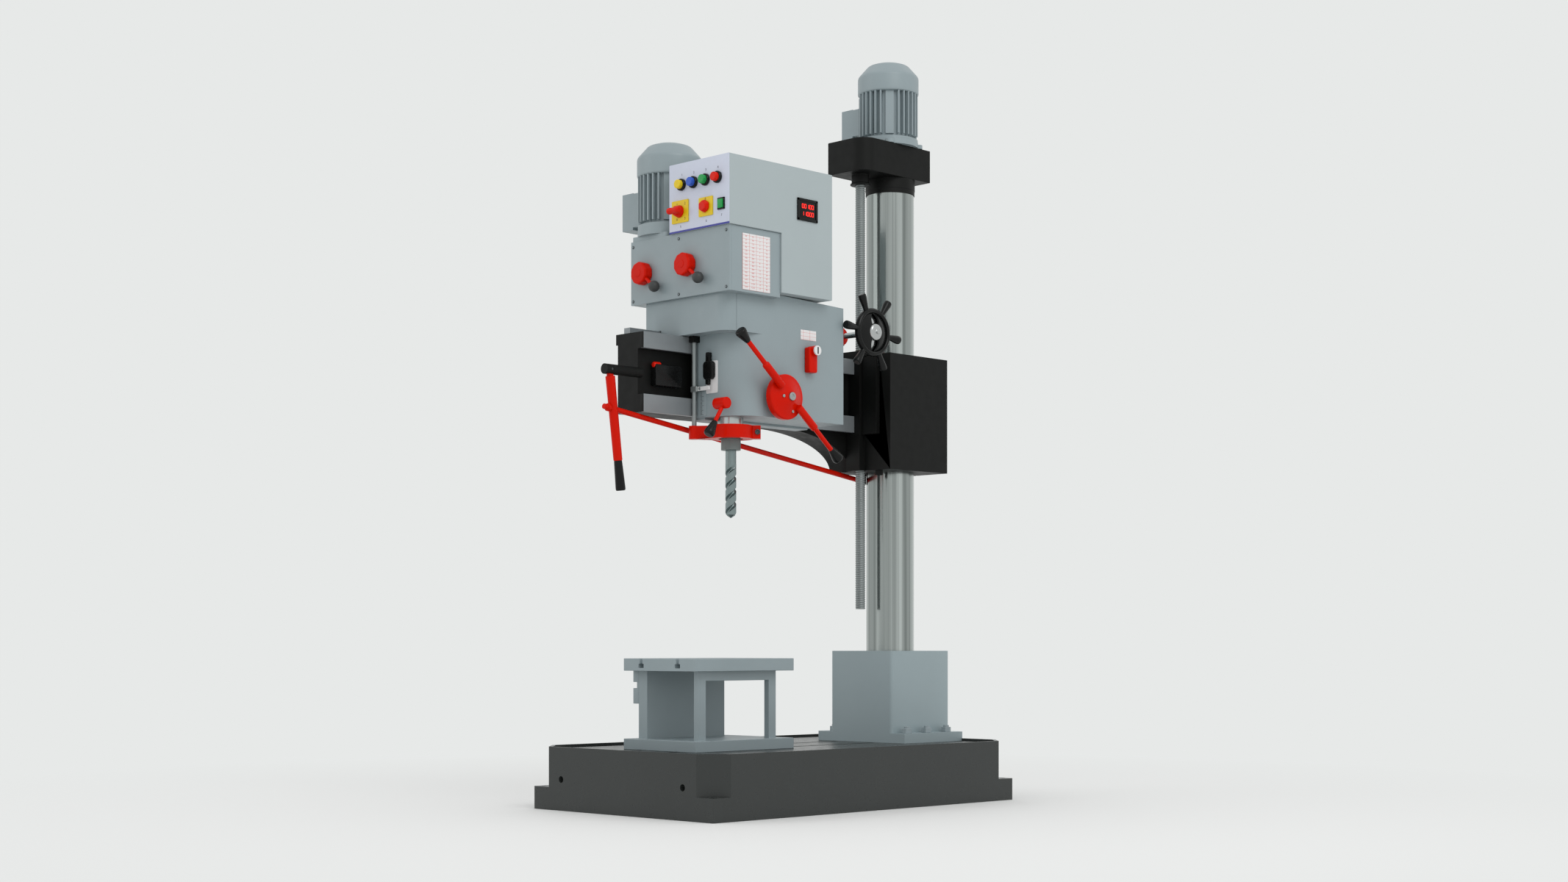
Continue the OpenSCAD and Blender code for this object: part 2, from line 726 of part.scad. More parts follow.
module gearbox_case() color(grey_paint) difference() {
    span([gearbox_left, gearbox_front + cover_thickness, gearbox_z],
        [gearbox_right, gearbox_rear, gearbox_top]);
    span([gearbox_left + gearbox_wall, gearbox_front, gearbox_z + gearbox_wall],
        [gearbox_right - gearbox_wall, gearbox_rear - gearbox_wall, gearbox_top - gearbox_wall]);
}

module gearbox_cover() color(grey_paint) {
    difference() {
        span([gearbox_left, gearbox_front, gearbox_z],
            [gearbox_right, gearbox_front + cover_thickness, gearbox_top]);
        translate([left_selector_x, 0, selector_z]) y_bar(8 + running, gearbox_front - 1, gearbox_front + 20);
        translate([right_selector_x, 0, selector_z + 4]) y_bar(8 + running, gearbox_front - 1, gearbox_front + 20);
    }
    for (x = [gearbox_left + 10, gearbox_left + 212, gearbox_right - 13],
            z = [gearbox_z + 11, gearbox_top - 16])
        translate([x, 0, z]) y_bar(4, gearbox_front - 2, gearbox_front + 1);
}

module speed_chart() color([0.9, 0.88, 0.88])
    span([gearbox_right, gearbox_rear - 155, gearbox_z + 8],
        [gearbox_right + 1, gearbox_rear - 43, gearbox_top - 19]);

module electrical_box() color(grey_paint) difference() {
    union() {
        span([ebox_left, ebox_front, gearbox_top], [ebox_right, ebox_rear, ebox_top]);
        span([ebox_inner_left, ebox_step, ridge_z], [ebox_right, ebox_rear, gearbox_top + 1]);
    }
    span([ebox_left + ebox_sheet, ebox_front - 1, gearbox_top + ebox_sheet],
        [ebox_right - ebox_sheet, ebox_rear - ebox_sheet, ebox_top - ebox_sheet]);
    span([ebox_inner_left + ebox_sheet, ebox_step + ebox_sheet, ridge_z + ebox_sheet],
        [ebox_right - ebox_sheet, ebox_rear - ebox_sheet, gearbox_top + ebox_sheet + 1]);
}

module control_panel() color([0.86, 0.87, 0.95]) difference() {
    union() {
        span([ebox_left, panel_face, gearbox_top], [ebox_right, ebox_front, ebox_top]);
        for (x = button_x) translate([x, 0, button_z])
            y_bar(button_r + 4, panel_face - 10, panel_face + 1);
    }
    for (x = button_x) translate([x, 0, button_z]) {
        y_bar(button_r + sliding, panel_face - 11, panel_face);
        y_bar(5 + sliding, panel_face - 1, ebox_front + 1);
    }
    for (x = [lever_switch_x, round_switch_x])
        translate([x, 0, switch_z]) y_bar(switch_shaft_r + running, panel_face - 1, ebox_front + 1);
}

module push_button(i) translate([button_x[i], 0, button_z]) {
    y_bar(button_r, panel_face - 22, panel_face - button_travel - 1);
    y_bar(5, panel_face - button_travel - 2, ebox_front + 8);
}
module yellow_button() color([0.9, 0.75, 0.1]) push_button(0);
module blue_button() color([0.15, 0.35, 0.8]) push_button(1);
module green_button() color([0.1, 0.6, 0.25]) push_button(2);
module red_button() color([0.85, 0.12, 0.1]) push_button(3);

module switch_plates() color([0.92, 0.78, 0.1]) difference() {
    union() {
        switch_plate(lever_switch_x, 35, 33);
        switch_plate(round_switch_x, 29, 27.5);
        switch_plate(rocker_x, rocker_half_x + 4, rocker_half_z + 4);
    }
    for (x = [lever_switch_x, round_switch_x])
        translate([x, 0, switch_z]) y_bar(switch_shaft_r + running, panel_face - 5, panel_face + 1);
    span([rocker_x - rocker_half_x - sliding, panel_face - 5, switch_z - rocker_half_z - 2 * sliding],
        [rocker_x + rocker_half_x + sliding, panel_face + 1, switch_z + rocker_half_z + 2 * sliding]);
    rocker_pin(rocker_pin_r + running, rocker_half_x + 2.2);
}

module switch_plate(x, half_x, half_z)
    span([x - half_x, panel_face - plate_thickness, switch_z - half_z],
        [x + half_x, panel_face, switch_z + half_z]);

module lever_switch() color(red_paint) translate([lever_switch_x, panel_face - plate_thickness - sliding, switch_z]) {
    y_bar(20, -22, 0);
    y_bar(switch_shaft_r, -1, 12);
    translate([0, -24, 0]) x_bar(10, -24, 24);
}

module round_switch() color(red_paint) translate([round_switch_x, panel_face - plate_thickness - sliding, switch_z]) {
    y_bar(18, -8, 0);
    y_bar(16, -15, -7);
    y_bar(switch_shaft_r, -1, 12);
}

module rocker_switch() color([0.1, 0.6, 0.25]) {
    span([rocker_x - rocker_half_x, panel_face - 9, switch_z - rocker_half_z],
        [rocker_x + rocker_half_x, panel_face - 2.2, switch_z + rocker_half_z]);
    rocker_pin(rocker_pin_r, rocker_half_x + 2);
}

// Pin on which the rocker tilts
module rocker_pin(r, half) translate([rocker_x, panel_face - 2.6, switch_z]) x_bar(r, -half, half);

module display() color([0.08, 0.08, 0.08])
    span([ebox_right, ebox_rear - 151.6, gearbox_top + 47.5],
        [ebox_right + 4, ebox_rear - 65.8, gearbox_top + 113.5]);

// Speed selector: a thick knob, a short lever and its ball
module selector() {
    y_bar(selector_r, -selector_depth, -sliding);
    y_bar(8, -1, cover_thickness + 12);
    translate([64, -22, -46]) sphere(17);
    strut(5, [20, -20, -14], [60, -22, -43]);
}
module left_selector() color(red_paint) translate([left_selector_x, gearbox_front, selector_z]) selector();
module right_selector() color(red_paint) translate([right_selector_x, gearbox_front, selector_z + 4]) selector();

module traverse_bracket() color(grey_paint) difference() {
    span([-20, head_rear, rail_top + 4], [60, traverse_y + 26, rail_top + 59]);
    translate([0, traverse_y, traverse_z]) x_bar(traverse_shaft_r + running, -21, 61);
}

module traverse_shaft() color(bright_steel) translate([0, traverse_y, traverse_z]) {
    x_bar(traverse_shaft_r, rail_x, traverse_x - 20);
    x_bar(traverse_pinion_r, rail_x + 1, rail_x + rail_width - 1);
    x_bar(27, 61, 76);
}

// Handwheel with a rim, two leaf-shaped openings in its cone, a hub and six grips
module traverse_wheel() color(black_paint) translate([0, traverse_y, traverse_z]) {
    rim_x = traverse_x - 14;
    difference() {
        x_bar(traverse_rim_r, rim_x - 12, rim_x + 12);
        x_bar(traverse_rim_r - 15, rim_x - 13, rim_x + 13);
    }
    difference() {
        x_bar(24, traverse_x - 40, traverse_x + 7);
        x_bar(traverse_shaft_r, traverse_x - 41, traverse_x - 20);
    }
    difference() {
        wheel_cone(rim_x);
        wheel_cone(rim_x - 9);
        for (side = [-1, 1]) translate([0, 0, side * (traverse_rim_r + 6)])
            x_bar(50, rim_x - 30, traverse_x + 30);
    }
    for (angle = [-6 : 60 : 294]) rotate([angle, 0, 0])
        translate([rim_x, traverse_rim_r - 4, 0]) rotate([-90, 0, 0])
            cylinder(r1 = 8, r2 = 12, h = traverse_tip_r - traverse_rim_r + 4);
}

// Cone from the handwheel's rim out to the front of its hub
module wheel_cone(from) translate([from, 0, 0]) rotate([0, 90, 0])
    cylinder(r1 = traverse_rim_r - 12, r2 = 20, h = 18);

module rod_bracket() color(black_paint) difference() {
    span([1, depth_rod_y - 13, neck_bottom - 19], [22, head_front, neck_bottom]);
    translate([depth_rod_x, depth_rod_y, 0]) post(depth_rod_r + running, neck_bottom - 20, neck_bottom + 1);
}

// Scale and sight on the head's face
module depth_gauge() color([0.85, 0.85, 0.85]) {
    span([24, head_front - 2, head_bottom + 5], [51, head_front, head_bottom + 77]);
    span([50, head_front - 2, head_bottom + 69], [99, head_front, head_bottom + 164]);
    span([48, head_front - 14, head_bottom + 94], [90, head_front - 1, head_bottom + 189]);
}

// Feed wheel: disc, centre bolt and two opposite levers with grips
module feed_wheel() color(red_paint) translate([0, feed_y, feed_z]) {
    x_bar(feed_disc_r, feed_face - 23, feed_face);
    translate([feed_face - 1, 0, 0]) rotate([0, 90, 0]) cylinder(r1 = 42, r2 = 26, h = 20);
    x_bar(10, feed_face + 18, feed_face + 25);
    for (turn = [0, 180]) translate([feed_lever_x, 0, 0]) rotate([feed_angle + turn, 0, 0]) {
        y_bar(11.5, 12, feed_lever_length / 2);
        y_bar(7.2, feed_lever_length / 2 - 1, feed_lever_length - feed_grip + 1);
        translate([0, feed_lever_length - feed_grip, 0]) rotate([-90, 0, 0])
            cylinder(r1 = 7.2, r2 = 16, h = feed_grip);
    }
}

module feed_shaft() color(bright_steel) translate([0, feed_y, feed_z]) {
    x_bar(feed_shaft_r, room_left - 9, feed_face - 23);
    x_bar(feed_gear_r, room_right - 25, room_right - 10);
}

module feed_idler() color(bright_steel) translate([0, idler_y, idler_z]) {
    x_bar(idler_shaft_r, room_right - 30, room_right + 9);
    x_bar(idler_r, room_right - 25, room_right - 10);
}

module quill_pinion() color(bright_steel) translate([0, pinion_y, feed_z]) {
    x_bar(pinion_shaft_r, room_left - 9, room_right + 9);
    x_bar(feed_gear_r, room_right - 25, room_right - 10);
    x_bar(pinion_r - sliding, quill_x - 12, quill_x + 12);
}

module quill() color(bright_steel) translate([quill_x, quill_y, 0]) difference() {
    post(quill_r, quill_bottom + 0.5, quill_top);
    post(spindle_r + running, quill_bottom - 1, quill_top + 1);
}

module spindle() color(bright_steel) translate([quill_x, quill_y, 0]) difference() {
    union() {
        post(nose_r, nose_bottom, quill_bottom);
        post(spindle_r, quill_bottom - 1, spindle_top);
    }
    post(drill_r, nose_bottom - 1, quill_bottom + 30);
}

module drill() color(machined) translate([quill_x, quill_y, 0]) {
    post(drill_r, nose_bottom - 45, quill_bottom + 30);
    translate([0, 0, nose_bottom - drill_length + 14]) linear_extrude(drill_length - 58, twist = -560, slices = 44)
        difference() {
            circle(drill_r, $fn = 28);
            for (side = [0, 180]) rotate(side) translate([drill_r - 1, 0]) circle(7, $fn = 16);
        }
    translate([0, 0, nose_bottom - drill_length]) cylinder(r1 = 0.4, r2 = drill_r - 4, h = 14.5);
}

module clamp_ring() color(red_paint) difference() {
    union() {
        translate([quill_x, quill_y, 0]) post(ring_r, ring_bottom, ring_bottom + ring_height);
        ring_arm();
        translate([quill_x, quill_y, 0]) rotate(45)
            span([ring_r - 12, -14, ring_bottom], [ring_r + 22, 14, ring_bottom + ring_height]);
    }
    translate([quill_x, quill_y, 0]) post(quill_r, ring_bottom - 1, ring_bottom + ring_height + 1);
    translate([quill_x, quill_y, 0]) rotate(45)
        span([quill_r - 2, -2, ring_bottom - 1], [ring_r + 23, 2, ring_bottom + ring_height + 1]);
}

// Arm of the ring that reaches the depth rod
module ring_arm() {
    reach = norm([quill_x - depth_rod_x, quill_y - depth_rod_y]);
    translate([quill_x, quill_y, 0])
        rotate(atan2(depth_rod_y - quill_y, depth_rod_x - quill_x)) {
            span([quill_r, -12, ring_bottom], [reach, 12, ring_bottom + ring_height]);
            translate([reach, 0, 0]) post(16, ring_bottom, ring_bottom + ring_height);
        }
}

module depth_rod() color(bright_steel) translate([depth_rod_x, depth_rod_y, 0]) {
    post(depth_rod_r, ring_bottom + ring_height, depth_rod_top);
    translate([0, 0, head_bottom + 84]) span([-9, -9, -8], [20, 9, 8]);
    translate([0, 0, head_bottom + 84]) x_bar(4, 19, 70);
}

// Feed selector on the head's side: boss and hanging lever
module feed_selector() color(red_paint)
    translate([head_width + sliding, selector_lever_y, selector_lever_z]) {
        x_bar(15, 0, 36);
        x_bar(6, -13, 1);
        span([0, -22.5, -66], [22, 12.5, 0]);
    }

// Pin along X on which the spindle clamp turns
module clamp_pin(r, from) translate([0, clamp_hub_y, clamp_hub_z]) x_bar(r, from, clamp_hub_right - 12);

// Spindle clamp: a hub along X and a lever with a tapered grip
module spindle_clamp() color(red_paint) difference() {
    translate([0, clamp_hub_y, clamp_hub_z]) {
        x_bar(17, clamp_hub_left, clamp_hub_right);
        translate([clamp_hub_right - 14, 0, 0]) rotate([clamp_angle, 0, 0]) {
            y_bar(6, 10, 70);
            translate([0, 69, 0]) rotate([-90, 0, 0]) cylinder(r1 = 7, r2 = 15, h = 47);
        }
    }
    clamp_pin(6 + running, clamp_hub_left - 1);
}

base_casting();
work_table();
column_block();
column_nuts();
column();
swing_bearing();
column_collar();
drive_block();
lift_motor_case();
lift_motor_cowl();
lift_motor_box();
lifting_screw();
arm_clamp();
lift_nut();
arm_casting();
upper_way();
lower_way();
guide_rail();
arm_switch();
lever_bar();
clamp_lever();
clamp_rod();
rod_anchor();
head_casting();
head_keeper();
gearbox_case();
gearbox_cover();
speed_chart();
electrical_box();
control_panel();
display();
main_motor_case();
main_motor_cowl();
main_motor_box();
traverse_bracket();
rod_bracket();
depth_gauge();
traverse_wheel();
traverse_shaft();
feed_wheel();
feed_shaft();
feed_idler();
quill_pinion();
quill();
clamp_ring();
depth_rod();
spindle();
drill();
left_selector();
right_selector();
switch_plates();
lever_switch();
round_switch();
rocker_switch();
yellow_button();
blue_button();
green_button();
red_button();
feed_selector();
spindle_clamp();
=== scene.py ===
import json
import math
import bpy
import bmesh
import numpy as np
from mathutils import Vector, Matrix


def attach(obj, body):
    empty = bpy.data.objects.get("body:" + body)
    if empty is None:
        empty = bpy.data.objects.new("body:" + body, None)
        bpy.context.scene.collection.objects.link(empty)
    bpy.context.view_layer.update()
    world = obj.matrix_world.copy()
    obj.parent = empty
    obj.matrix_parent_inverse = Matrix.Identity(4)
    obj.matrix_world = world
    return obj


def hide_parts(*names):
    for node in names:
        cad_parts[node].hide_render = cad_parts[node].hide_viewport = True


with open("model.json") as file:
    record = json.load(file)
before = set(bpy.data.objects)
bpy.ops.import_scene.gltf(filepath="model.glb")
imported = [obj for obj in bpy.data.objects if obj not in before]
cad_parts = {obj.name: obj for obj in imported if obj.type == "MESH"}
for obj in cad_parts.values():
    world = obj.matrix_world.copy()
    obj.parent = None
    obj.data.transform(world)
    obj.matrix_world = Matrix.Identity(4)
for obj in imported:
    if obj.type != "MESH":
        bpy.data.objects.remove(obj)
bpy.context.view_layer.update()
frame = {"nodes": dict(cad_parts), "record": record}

mm = 0.001
nodes = frame["nodes"]
bodyOf = {node: body for body, members in frame["record"]["behaviour"]["bodies"].items() for node in members}
slotOf = {part["node"]: part["material_slot"] for part in frame["record"]["subparts"]}
print("frame loaded:", len(nodes), "nodes")

# the photograph's camera: level, 50 mm lens, lens raised
cameraSettings = {"place": (4.7252, -4.7448, 0.4915), "turn": 44.7778, "lens": 50, "sensor": 36,
                  "rise": 0.12959, "far": 100}


def makeCamera(s):
    lens = bpy.data.cameras.new("camera")
    lens.lens, lens.sensor_width, lens.sensor_fit = s["lens"], s["sensor"], "HORIZONTAL"
    lens.shift_y = s["rise"]
    lens.clip_end = s["far"]
    camera = bpy.data.objects.new("camera", lens)
    camera.location = s["place"]
    camera.rotation_euler = (math.radians(90), 0, math.radians(s["turn"]))
    bpy.context.scene.collection.objects.link(camera)
    bpy.context.scene.camera = camera


makeCamera(cameraSettings)
bpy.context.scene.view_settings.view_transform = "Standard"


# an sRGB colour 0-255 as the linear values that a shader takes
def colour(red, green, blue):
    srgb = np.array([red, green, blue]) / 255
    linear = np.where(srgb <= 0.04045, srgb / 12.92, ((srgb + 0.055) / 1.055) ** 2.4)
    return (*[float(v) for v in linear], 1.0)


def tint(shade, factor):
    return (*[min(1.0, v * factor) for v in shade[:3]], 1.0)


# one socket of a shader, so that sums on sockets read as plain sums
class Wire:
    def __init__(self, shader, socket):
        self.shader, self.socket = shader, socket

    def maths(self, operation, other=0.0):
        return self.shader.add("ShaderNodeMath", {"operation": operation}, {0: self, 1: other})

    def __add__(self, other):
        return self.maths("ADD", other)

    def __radd__(self, other):
        return self + other

    def __mul__(self, other):
        return self.maths("MULTIPLY", other)

    def __rmul__(self, other):
        return self * other

    def __sub__(self, other):
        return self.maths("SUBTRACT", other)

    def __rsub__(self, other):
        return self.shader.add("ShaderNodeMath", {"operation": "SUBTRACT"}, {0: other, 1: self})

    # most of a noise lies from 0.3 to 0.7, which this spreads over a new range
    def spread(self, newLow=0.0, newHigh=1.0, low=0.3, high=0.7):
        return self.shader.add("ShaderNodeMapRange", {"clamp": True},
                               {"Value": self, "From Min": low, "From Max": high,
                                "To Min": newLow, "To Max": newHigh})


# a material under construction, built round one Principled shader
class Shader:
    def __init__(self, name, **fixed):
        self.material = bpy.data.materials.new(name)
        self.material.use_nodes = True
        self.tree = self.material.node_tree
        self.surface = self.tree.nodes["Principled BSDF"]
        self.feed(self.surface, fixed)
        self.place = Wire(self, self.tree.nodes.new("ShaderNodeTexCoord").outputs["Object"])

    def feed(self, node, values):
        for key, value in values.items():
            socket = node.inputs[key if isinstance(key, int) else key.replace("_", " ")]
            if isinstance(value, Wire):
                self.tree.links.new(value.socket, socket)
            else:
                socket.default_value = value

    def add(self, kind, settings={}, values={}, out=0):
        node = self.tree.nodes.new(kind)
        for key, value in settings.items():
            setattr(node, key, value)
        self.feed(node, values)
        return Wire(self, node.outputs[out])

    def set(self, **values):
        self.feed(self.surface, values)

    def noise(self, scale, detail=3.0, rough=0.5, stretch=None):
        where = self.place
        if stretch:
            where = self.add("ShaderNodeMapping", {}, {"Vector": self.place, "Scale": stretch})
        return self.add("ShaderNodeTexNoise", {},
                        {"Vector": where, "Scale": scale, "Detail": detail, "Roughness": rough})

    def mix(self, share, first, second):
        node = self.tree.nodes.new("ShaderNodeMix")
        node.data_type = "RGBA"
        self.feed(node, {0: share, 6: first, 7: second})
        return Wire(self, node.outputs[2])

    # one shade made a little darker and lighter by a share, where a noise is low and high
    def clouded(self, noise, shade, share):
        return self.mix(noise.spread(), tint(shade, 1 - share), tint(shade, 1 + share))

    def bump(self, height, strength, distance):
        values = {"Strength": strength, "Distance": distance, "Height": height}
        self.set(Normal=self.add("ShaderNodeBump", {}, values))


# sprayed paint: faint cloudiness, orange peel and a little dust dulling
def paint(name, shade, rough=0.42, peel=0.12, cloud=0.04, ior=1.5):
    s = Shader(name, IOR=ior)
    s.set(Base_Color=s.clouded(s.noise(scale=5.0, detail=4.0, rough=0.6), shade, cloud))
    s.set(Roughness=s.noise(scale=38.0).spread(rough - 0.05, rough + 0.06))
    s.bump(s.noise(scale=420.0, detail=2.0), strength=peel, distance=0.0006)
    return s.material


# machined or ground metal with fine tool marks, drawn out along the axis whose scale is small;
# the marks and the cloudiness both vary the roughness
def metal(name, shade, rough=0.3, marks=(1.0, 0.02, 1.0), depth=0.25, metallic=1.0):
    s = Shader(name, Metallic=metallic)
    clouds = s.noise(scale=9.0, detail=4.0, rough=0.6)
    grain = s.noise(scale=900.0, detail=2.0, rough=0.6, stretch=marks)
    s.set(Base_Color=s.clouded(clouds, shade, 0.06))
    s.set(Roughness=grain * 0.16 + clouds * 0.08 + (rough - 0.12))
    s.bump(grain, strength=depth, distance=0.0002)
    return s.material


def plastic(name, shade, rough=0.3, ior=1.4):
    s = Shader(name, IOR=ior)
    s.set(Base_Color=s.clouded(s.noise(scale=60.0), shade, 0.03))
    s.set(Roughness=s.noise(scale=150.0, detail=2.0).spread(rough - 0.04, rough + 0.05))
    s.bump(s.noise(scale=1800.0, detail=1.0), strength=0.04, distance=0.0002)
    return s.material


# plastic that glows
def lit(name, shade, rough, glow, strength):
    material = plastic(name, shade, rough)
    surface = material.node_tree.nodes["Principled BSDF"]
    surface.inputs["Emission Color"].default_value = glow
    surface.inputs["Emission Strength"].default_value = strength
    return material


# ground column whose base colour carries painted reflections: dark and light streaks that run its whole
# height, from a noise drawn out along Z
def reflectionPainted(name, dark, light):
    s = Shader(name, Metallic=1.0)
    reflectionStreaks = s.noise(scale=34.0, rough=0.6, stretch=(1.0, 1.0, 0.004))
    fine = s.noise(scale=800.0, rough=0.6, stretch=(1.0, 1.0, 0.02))
    # painted reflections: the base colour runs from dark to light along the streaks
    s.set(Base_Color=s.mix(reflectionStreaks.spread(low=0.36, high=0.64), dark, light))
    s.set(Roughness=fine.spread(0.12, 0.22))
    s.bump(fine, strength=0.12, distance=0.0002)
    return s.material


# plain sheet with printed lines where a coordinate is near a multiple of a pitch, in millimetres from a start
def printed(name, shade, ink, lines):
    s = Shader(name, IOR=1.5, Roughness=0.38)
    coordinates = s.add("ShaderNodeSeparateXYZ", {}, {0: s.place}).socket.node.outputs
    mask = None
    for line in lines:
        fromStart = Wire(s, coordinates[line["axis"]]) - line["start"] * mm
        steps = fromStart.maths("DIVIDE", line["pitch"] * mm)
        off = (steps - steps.maths("ROUND")).maths("ABSOLUTE")
        inked = off.maths("LESS_THAN", line["width"] / line["pitch"] / 2)
        mask = inked if mask is None else mask.maths("MAXIMUM", inked)
    ground = s.clouded(s.noise(scale=30.0), shade, 0.015)
    s.set(Base_Color=s.mix(mask, ground, ink))
    return s.material


alongX, alongY, alongZ = range(3)
chartLines = [{"axis": alongY, "start": -371, "pitch": 28, "width": 0.9},
              {"axis": alongZ, "start": 1516, "pitch": 10.45, "width": 0.6}]
panelLines = [{"axis": alongZ, "start": 1700.5, "pitch": 1000, "width": 5.5}]
finishes = {
    "base_paint": paint("basePaint", colour(52, 55, 54), 0.3, peel=0.05, cloud=0.03, ior=1.4),
    "grey_paint": paint("greyPaint", colour(143, 156, 160), 0.4, peel=0.1, cloud=0.025, ior=1.45),
    "fasteners": paint("paintedNuts", colour(150, 162, 166)),
    "black_paint": paint("blackPaint", colour(18, 19, 18), 0.5, peel=0.06, ior=1.26),
    "ground_steel": metal("groundSteel", colour(190, 194, 194), 0.22, marks=(1.0, 1.0, 0.02)),
    "machined_iron": metal("scrapedIron", colour(138, 144, 147), 0.38, metallic=0.4),
    "bronze": metal("bronze", colour(190, 150, 92), 0.35),
    "tool_steel": metal("toolSteel", colour(133, 146, 146), 0.35, marks=(1.0, 1.0, 0.1)),
    "red_paint": paint("redPaint", colour(205, 21, 0), 0.3, peel=0.06, cloud=0.03, ior=1.2),
    "red_plastic": plastic("redPlastic", colour(214, 26, 4), ior=1.25),
    "black_plastic": plastic("blackPlastic", colour(16, 17, 17), 0.25, ior=1.3),
    "yellow_plastic": plastic("yellowPlastic", colour(226, 196, 24), 0.35),
    "blue_plastic": plastic("bluePlastic", colour(44, 88, 190)),
    "green_plastic": plastic("greenPlastic", colour(24, 150, 70)),
    "panel_sheet": paint("panelSheet", colour(200, 208, 222), 0.35, peel=0.03, cloud=0.01),
    "chart_plate": paint("chartPlate", colour(224, 224, 224), 0.4, peel=0.02, cloud=0.01),
    "matte_steel": metal("matteSteel", colour(114, 121, 120), 0.45, depth=0.1, metallic=0.6),
    "rod_steel": metal("rodSteel", colour(150, 157, 157), 0.4, depth=0.1, metallic=0.6),
    "screw_steel": metal("screwSteel", colour(134, 140, 140), 0.45, depth=0.05, metallic=0.5),
    "block_paint": paint("blockPaint", colour(151, 166, 170), 0.4, peel=0.08, cloud=0.02, ior=1.45),
    "sheet_paint": paint("sheetPaint", colour(166, 177, 179), 0.4, peel=0.06, cloud=0.015, ior=1.45),
    "bright_screws": metal("brightScrews", colour(170, 172, 172)),
    "dark_screws": metal("darkScrews", colour(84, 88, 90), 0.35),
    "polished": metal("polishedHub", colour(186, 188, 188), 0.2, depth=0.05),
    "ball_plastic": plastic("ballPlastic", colour(62, 64, 64), 0.45),
    "red_ink": plastic("redInk", colour(206, 96, 90), 0.6),
    "lit_red": lit("litRed", colour(255, 40, 30), 0.4, glow=colour(255, 40, 34), strength=0.9),
    # column steel with painted reflections in its base colour
    "column_steel": reflectionPainted("columnSteel", colour(130, 136, 134), colour(190, 196, 194)),
    "chart_print": printed("chartPrint", colour(226, 224, 224), colour(206, 96, 88), chartLines),
    "panel_print": printed("panelPrint", colour(200, 206, 222), colour(58, 62, 150), panelLines),
}
print("materials made:", len(finishes))

# directions, and the radius at which a solid turned piece is closed round its axis
toRight, toRear, toFront, upward, downward = (1, 0, 0), (0, 1, 0), (0, -1, 0), (0, 0, 1), (0, 0, -1)
core = 0.3


# grid surface: quads between neighbouring rows and columns, the end rows closed by one polygon each
def grid(points, ring=False):
    rows, cols = points.shape[:2]
    ids = np.arange(rows * cols).reshape(rows, cols)
    a, b = (ids, np.roll(ids, -1, 0)) if ring else (ids[:-1], ids[1:])
    faces = np.stack([a, np.roll(a, -1, 1), np.roll(b, -1, 1), b], -1).reshape(-1, 4).tolist()
    if not ring:
        faces += [ids[0][::-1].tolist(), ids[-1].tolist()]
    return points.reshape(-1, 3), faces


# a direction and two unit vectors square to it
def axes(direction):
    d = np.array(direction, float) / np.linalg.norm(direction)
    side = np.cross(d, upward if abs(d[2]) < 0.9 else toRear)
    side /= np.linalg.norm(side)
    return d, side, np.cross(d, side)


# corners of a profile rounded: near corner c the curve is (1-t)^2 p + 2t(1-t) c + t^2 q,
# where p and q lie on its two sides, at the reach or at the most of a side that a curve may take
def rounded(corners, reach, steps=5, closed=False, most=0.45):
    c = np.array(corners, float)
    back, ahead = np.roll(c, 1, 0) - c, np.roll(c, -1, 0) - c
    backLength, aheadLength = (np.maximum(np.linalg.norm(v, axis=1)[:, None], 1e-9) for v in (back, ahead))
    p = (c + back / backLength * np.minimum(reach, backLength * most))[:, None]
    q = (c + ahead / aheadLength * np.minimum(reach, aheadLength * most))[:, None]
    t = np.linspace(0, 1, steps)[None, :, None]
    curve = (1 - t) ** 2 * p + 2 * t * (1 - t) * c[:, None] + t ** 2 * q
    if closed:
        return curve.reshape(-1, 2)
    return np.concatenate([c[:1], curve[1:-1].reshape(-1, 2), c[-1:]])


# turned piece: station s and angle a give origin + s d + r(s) w(a) (e1 cos a + e2 sin a), where w is 1 or,
# with n lobes of depth k, 1 - k (1 + cos n a) / 2
def turned(profile, origin, direction, segments, lobes=None, ring=False):
    d, e1, e2 = axes(direction)
    s, r = np.array(profile, float).T
    a = np.linspace(0, 2 * math.pi, segments, endpoint=False)
    wave = 1 - lobes[1] * (1 + np.cos(lobes[0] * a)) / 2 if lobes else np.ones_like(a)
    around = np.cos(a)[:, None] * e1 + np.sin(a)[:, None] * e2
    points = np.array(origin, float) + s[:, None, None] * d + (r[:, None] * wave)[:, :, None] * around
    return grid(points, ring)


# solid turned piece from corners (station, radius), its two ends run in to the axis
def spun(corners, origin, direction, soft, steps=5, segments=48, lobes=None, tip=None):
    last = corners[-1][0] if tip is None else tip
    profile = rounded([(corners[0][0], core), *corners, (last, core)], soft, steps)
    return turned(profile, origin, direction, segments, lobes)


# turned ring from the corners of its section
def spunRing(corners, origin, direction, soft, steps, segments):
    return turned(rounded(corners, soft, steps, closed=True), origin, direction, segments, ring=True)


# round bar with softened ends, from one point to another
def bar(start, end, radius, endRadius=None, soft=1.5, segments=32):
    start, end = np.array(start, float), np.array(end, float)
    length = float(np.linalg.norm(end - start))
    last = radius if endRadius is None else endRadius
    return spun([(0, radius), (length, last)], start, end - start, soft, segments=segments)


# direction square to X, at an angle from the rear towards the top
def spoke(degrees):
    return np.array([0, math.cos(math.radians(degrees)), math.sin(math.radians(degrees))])


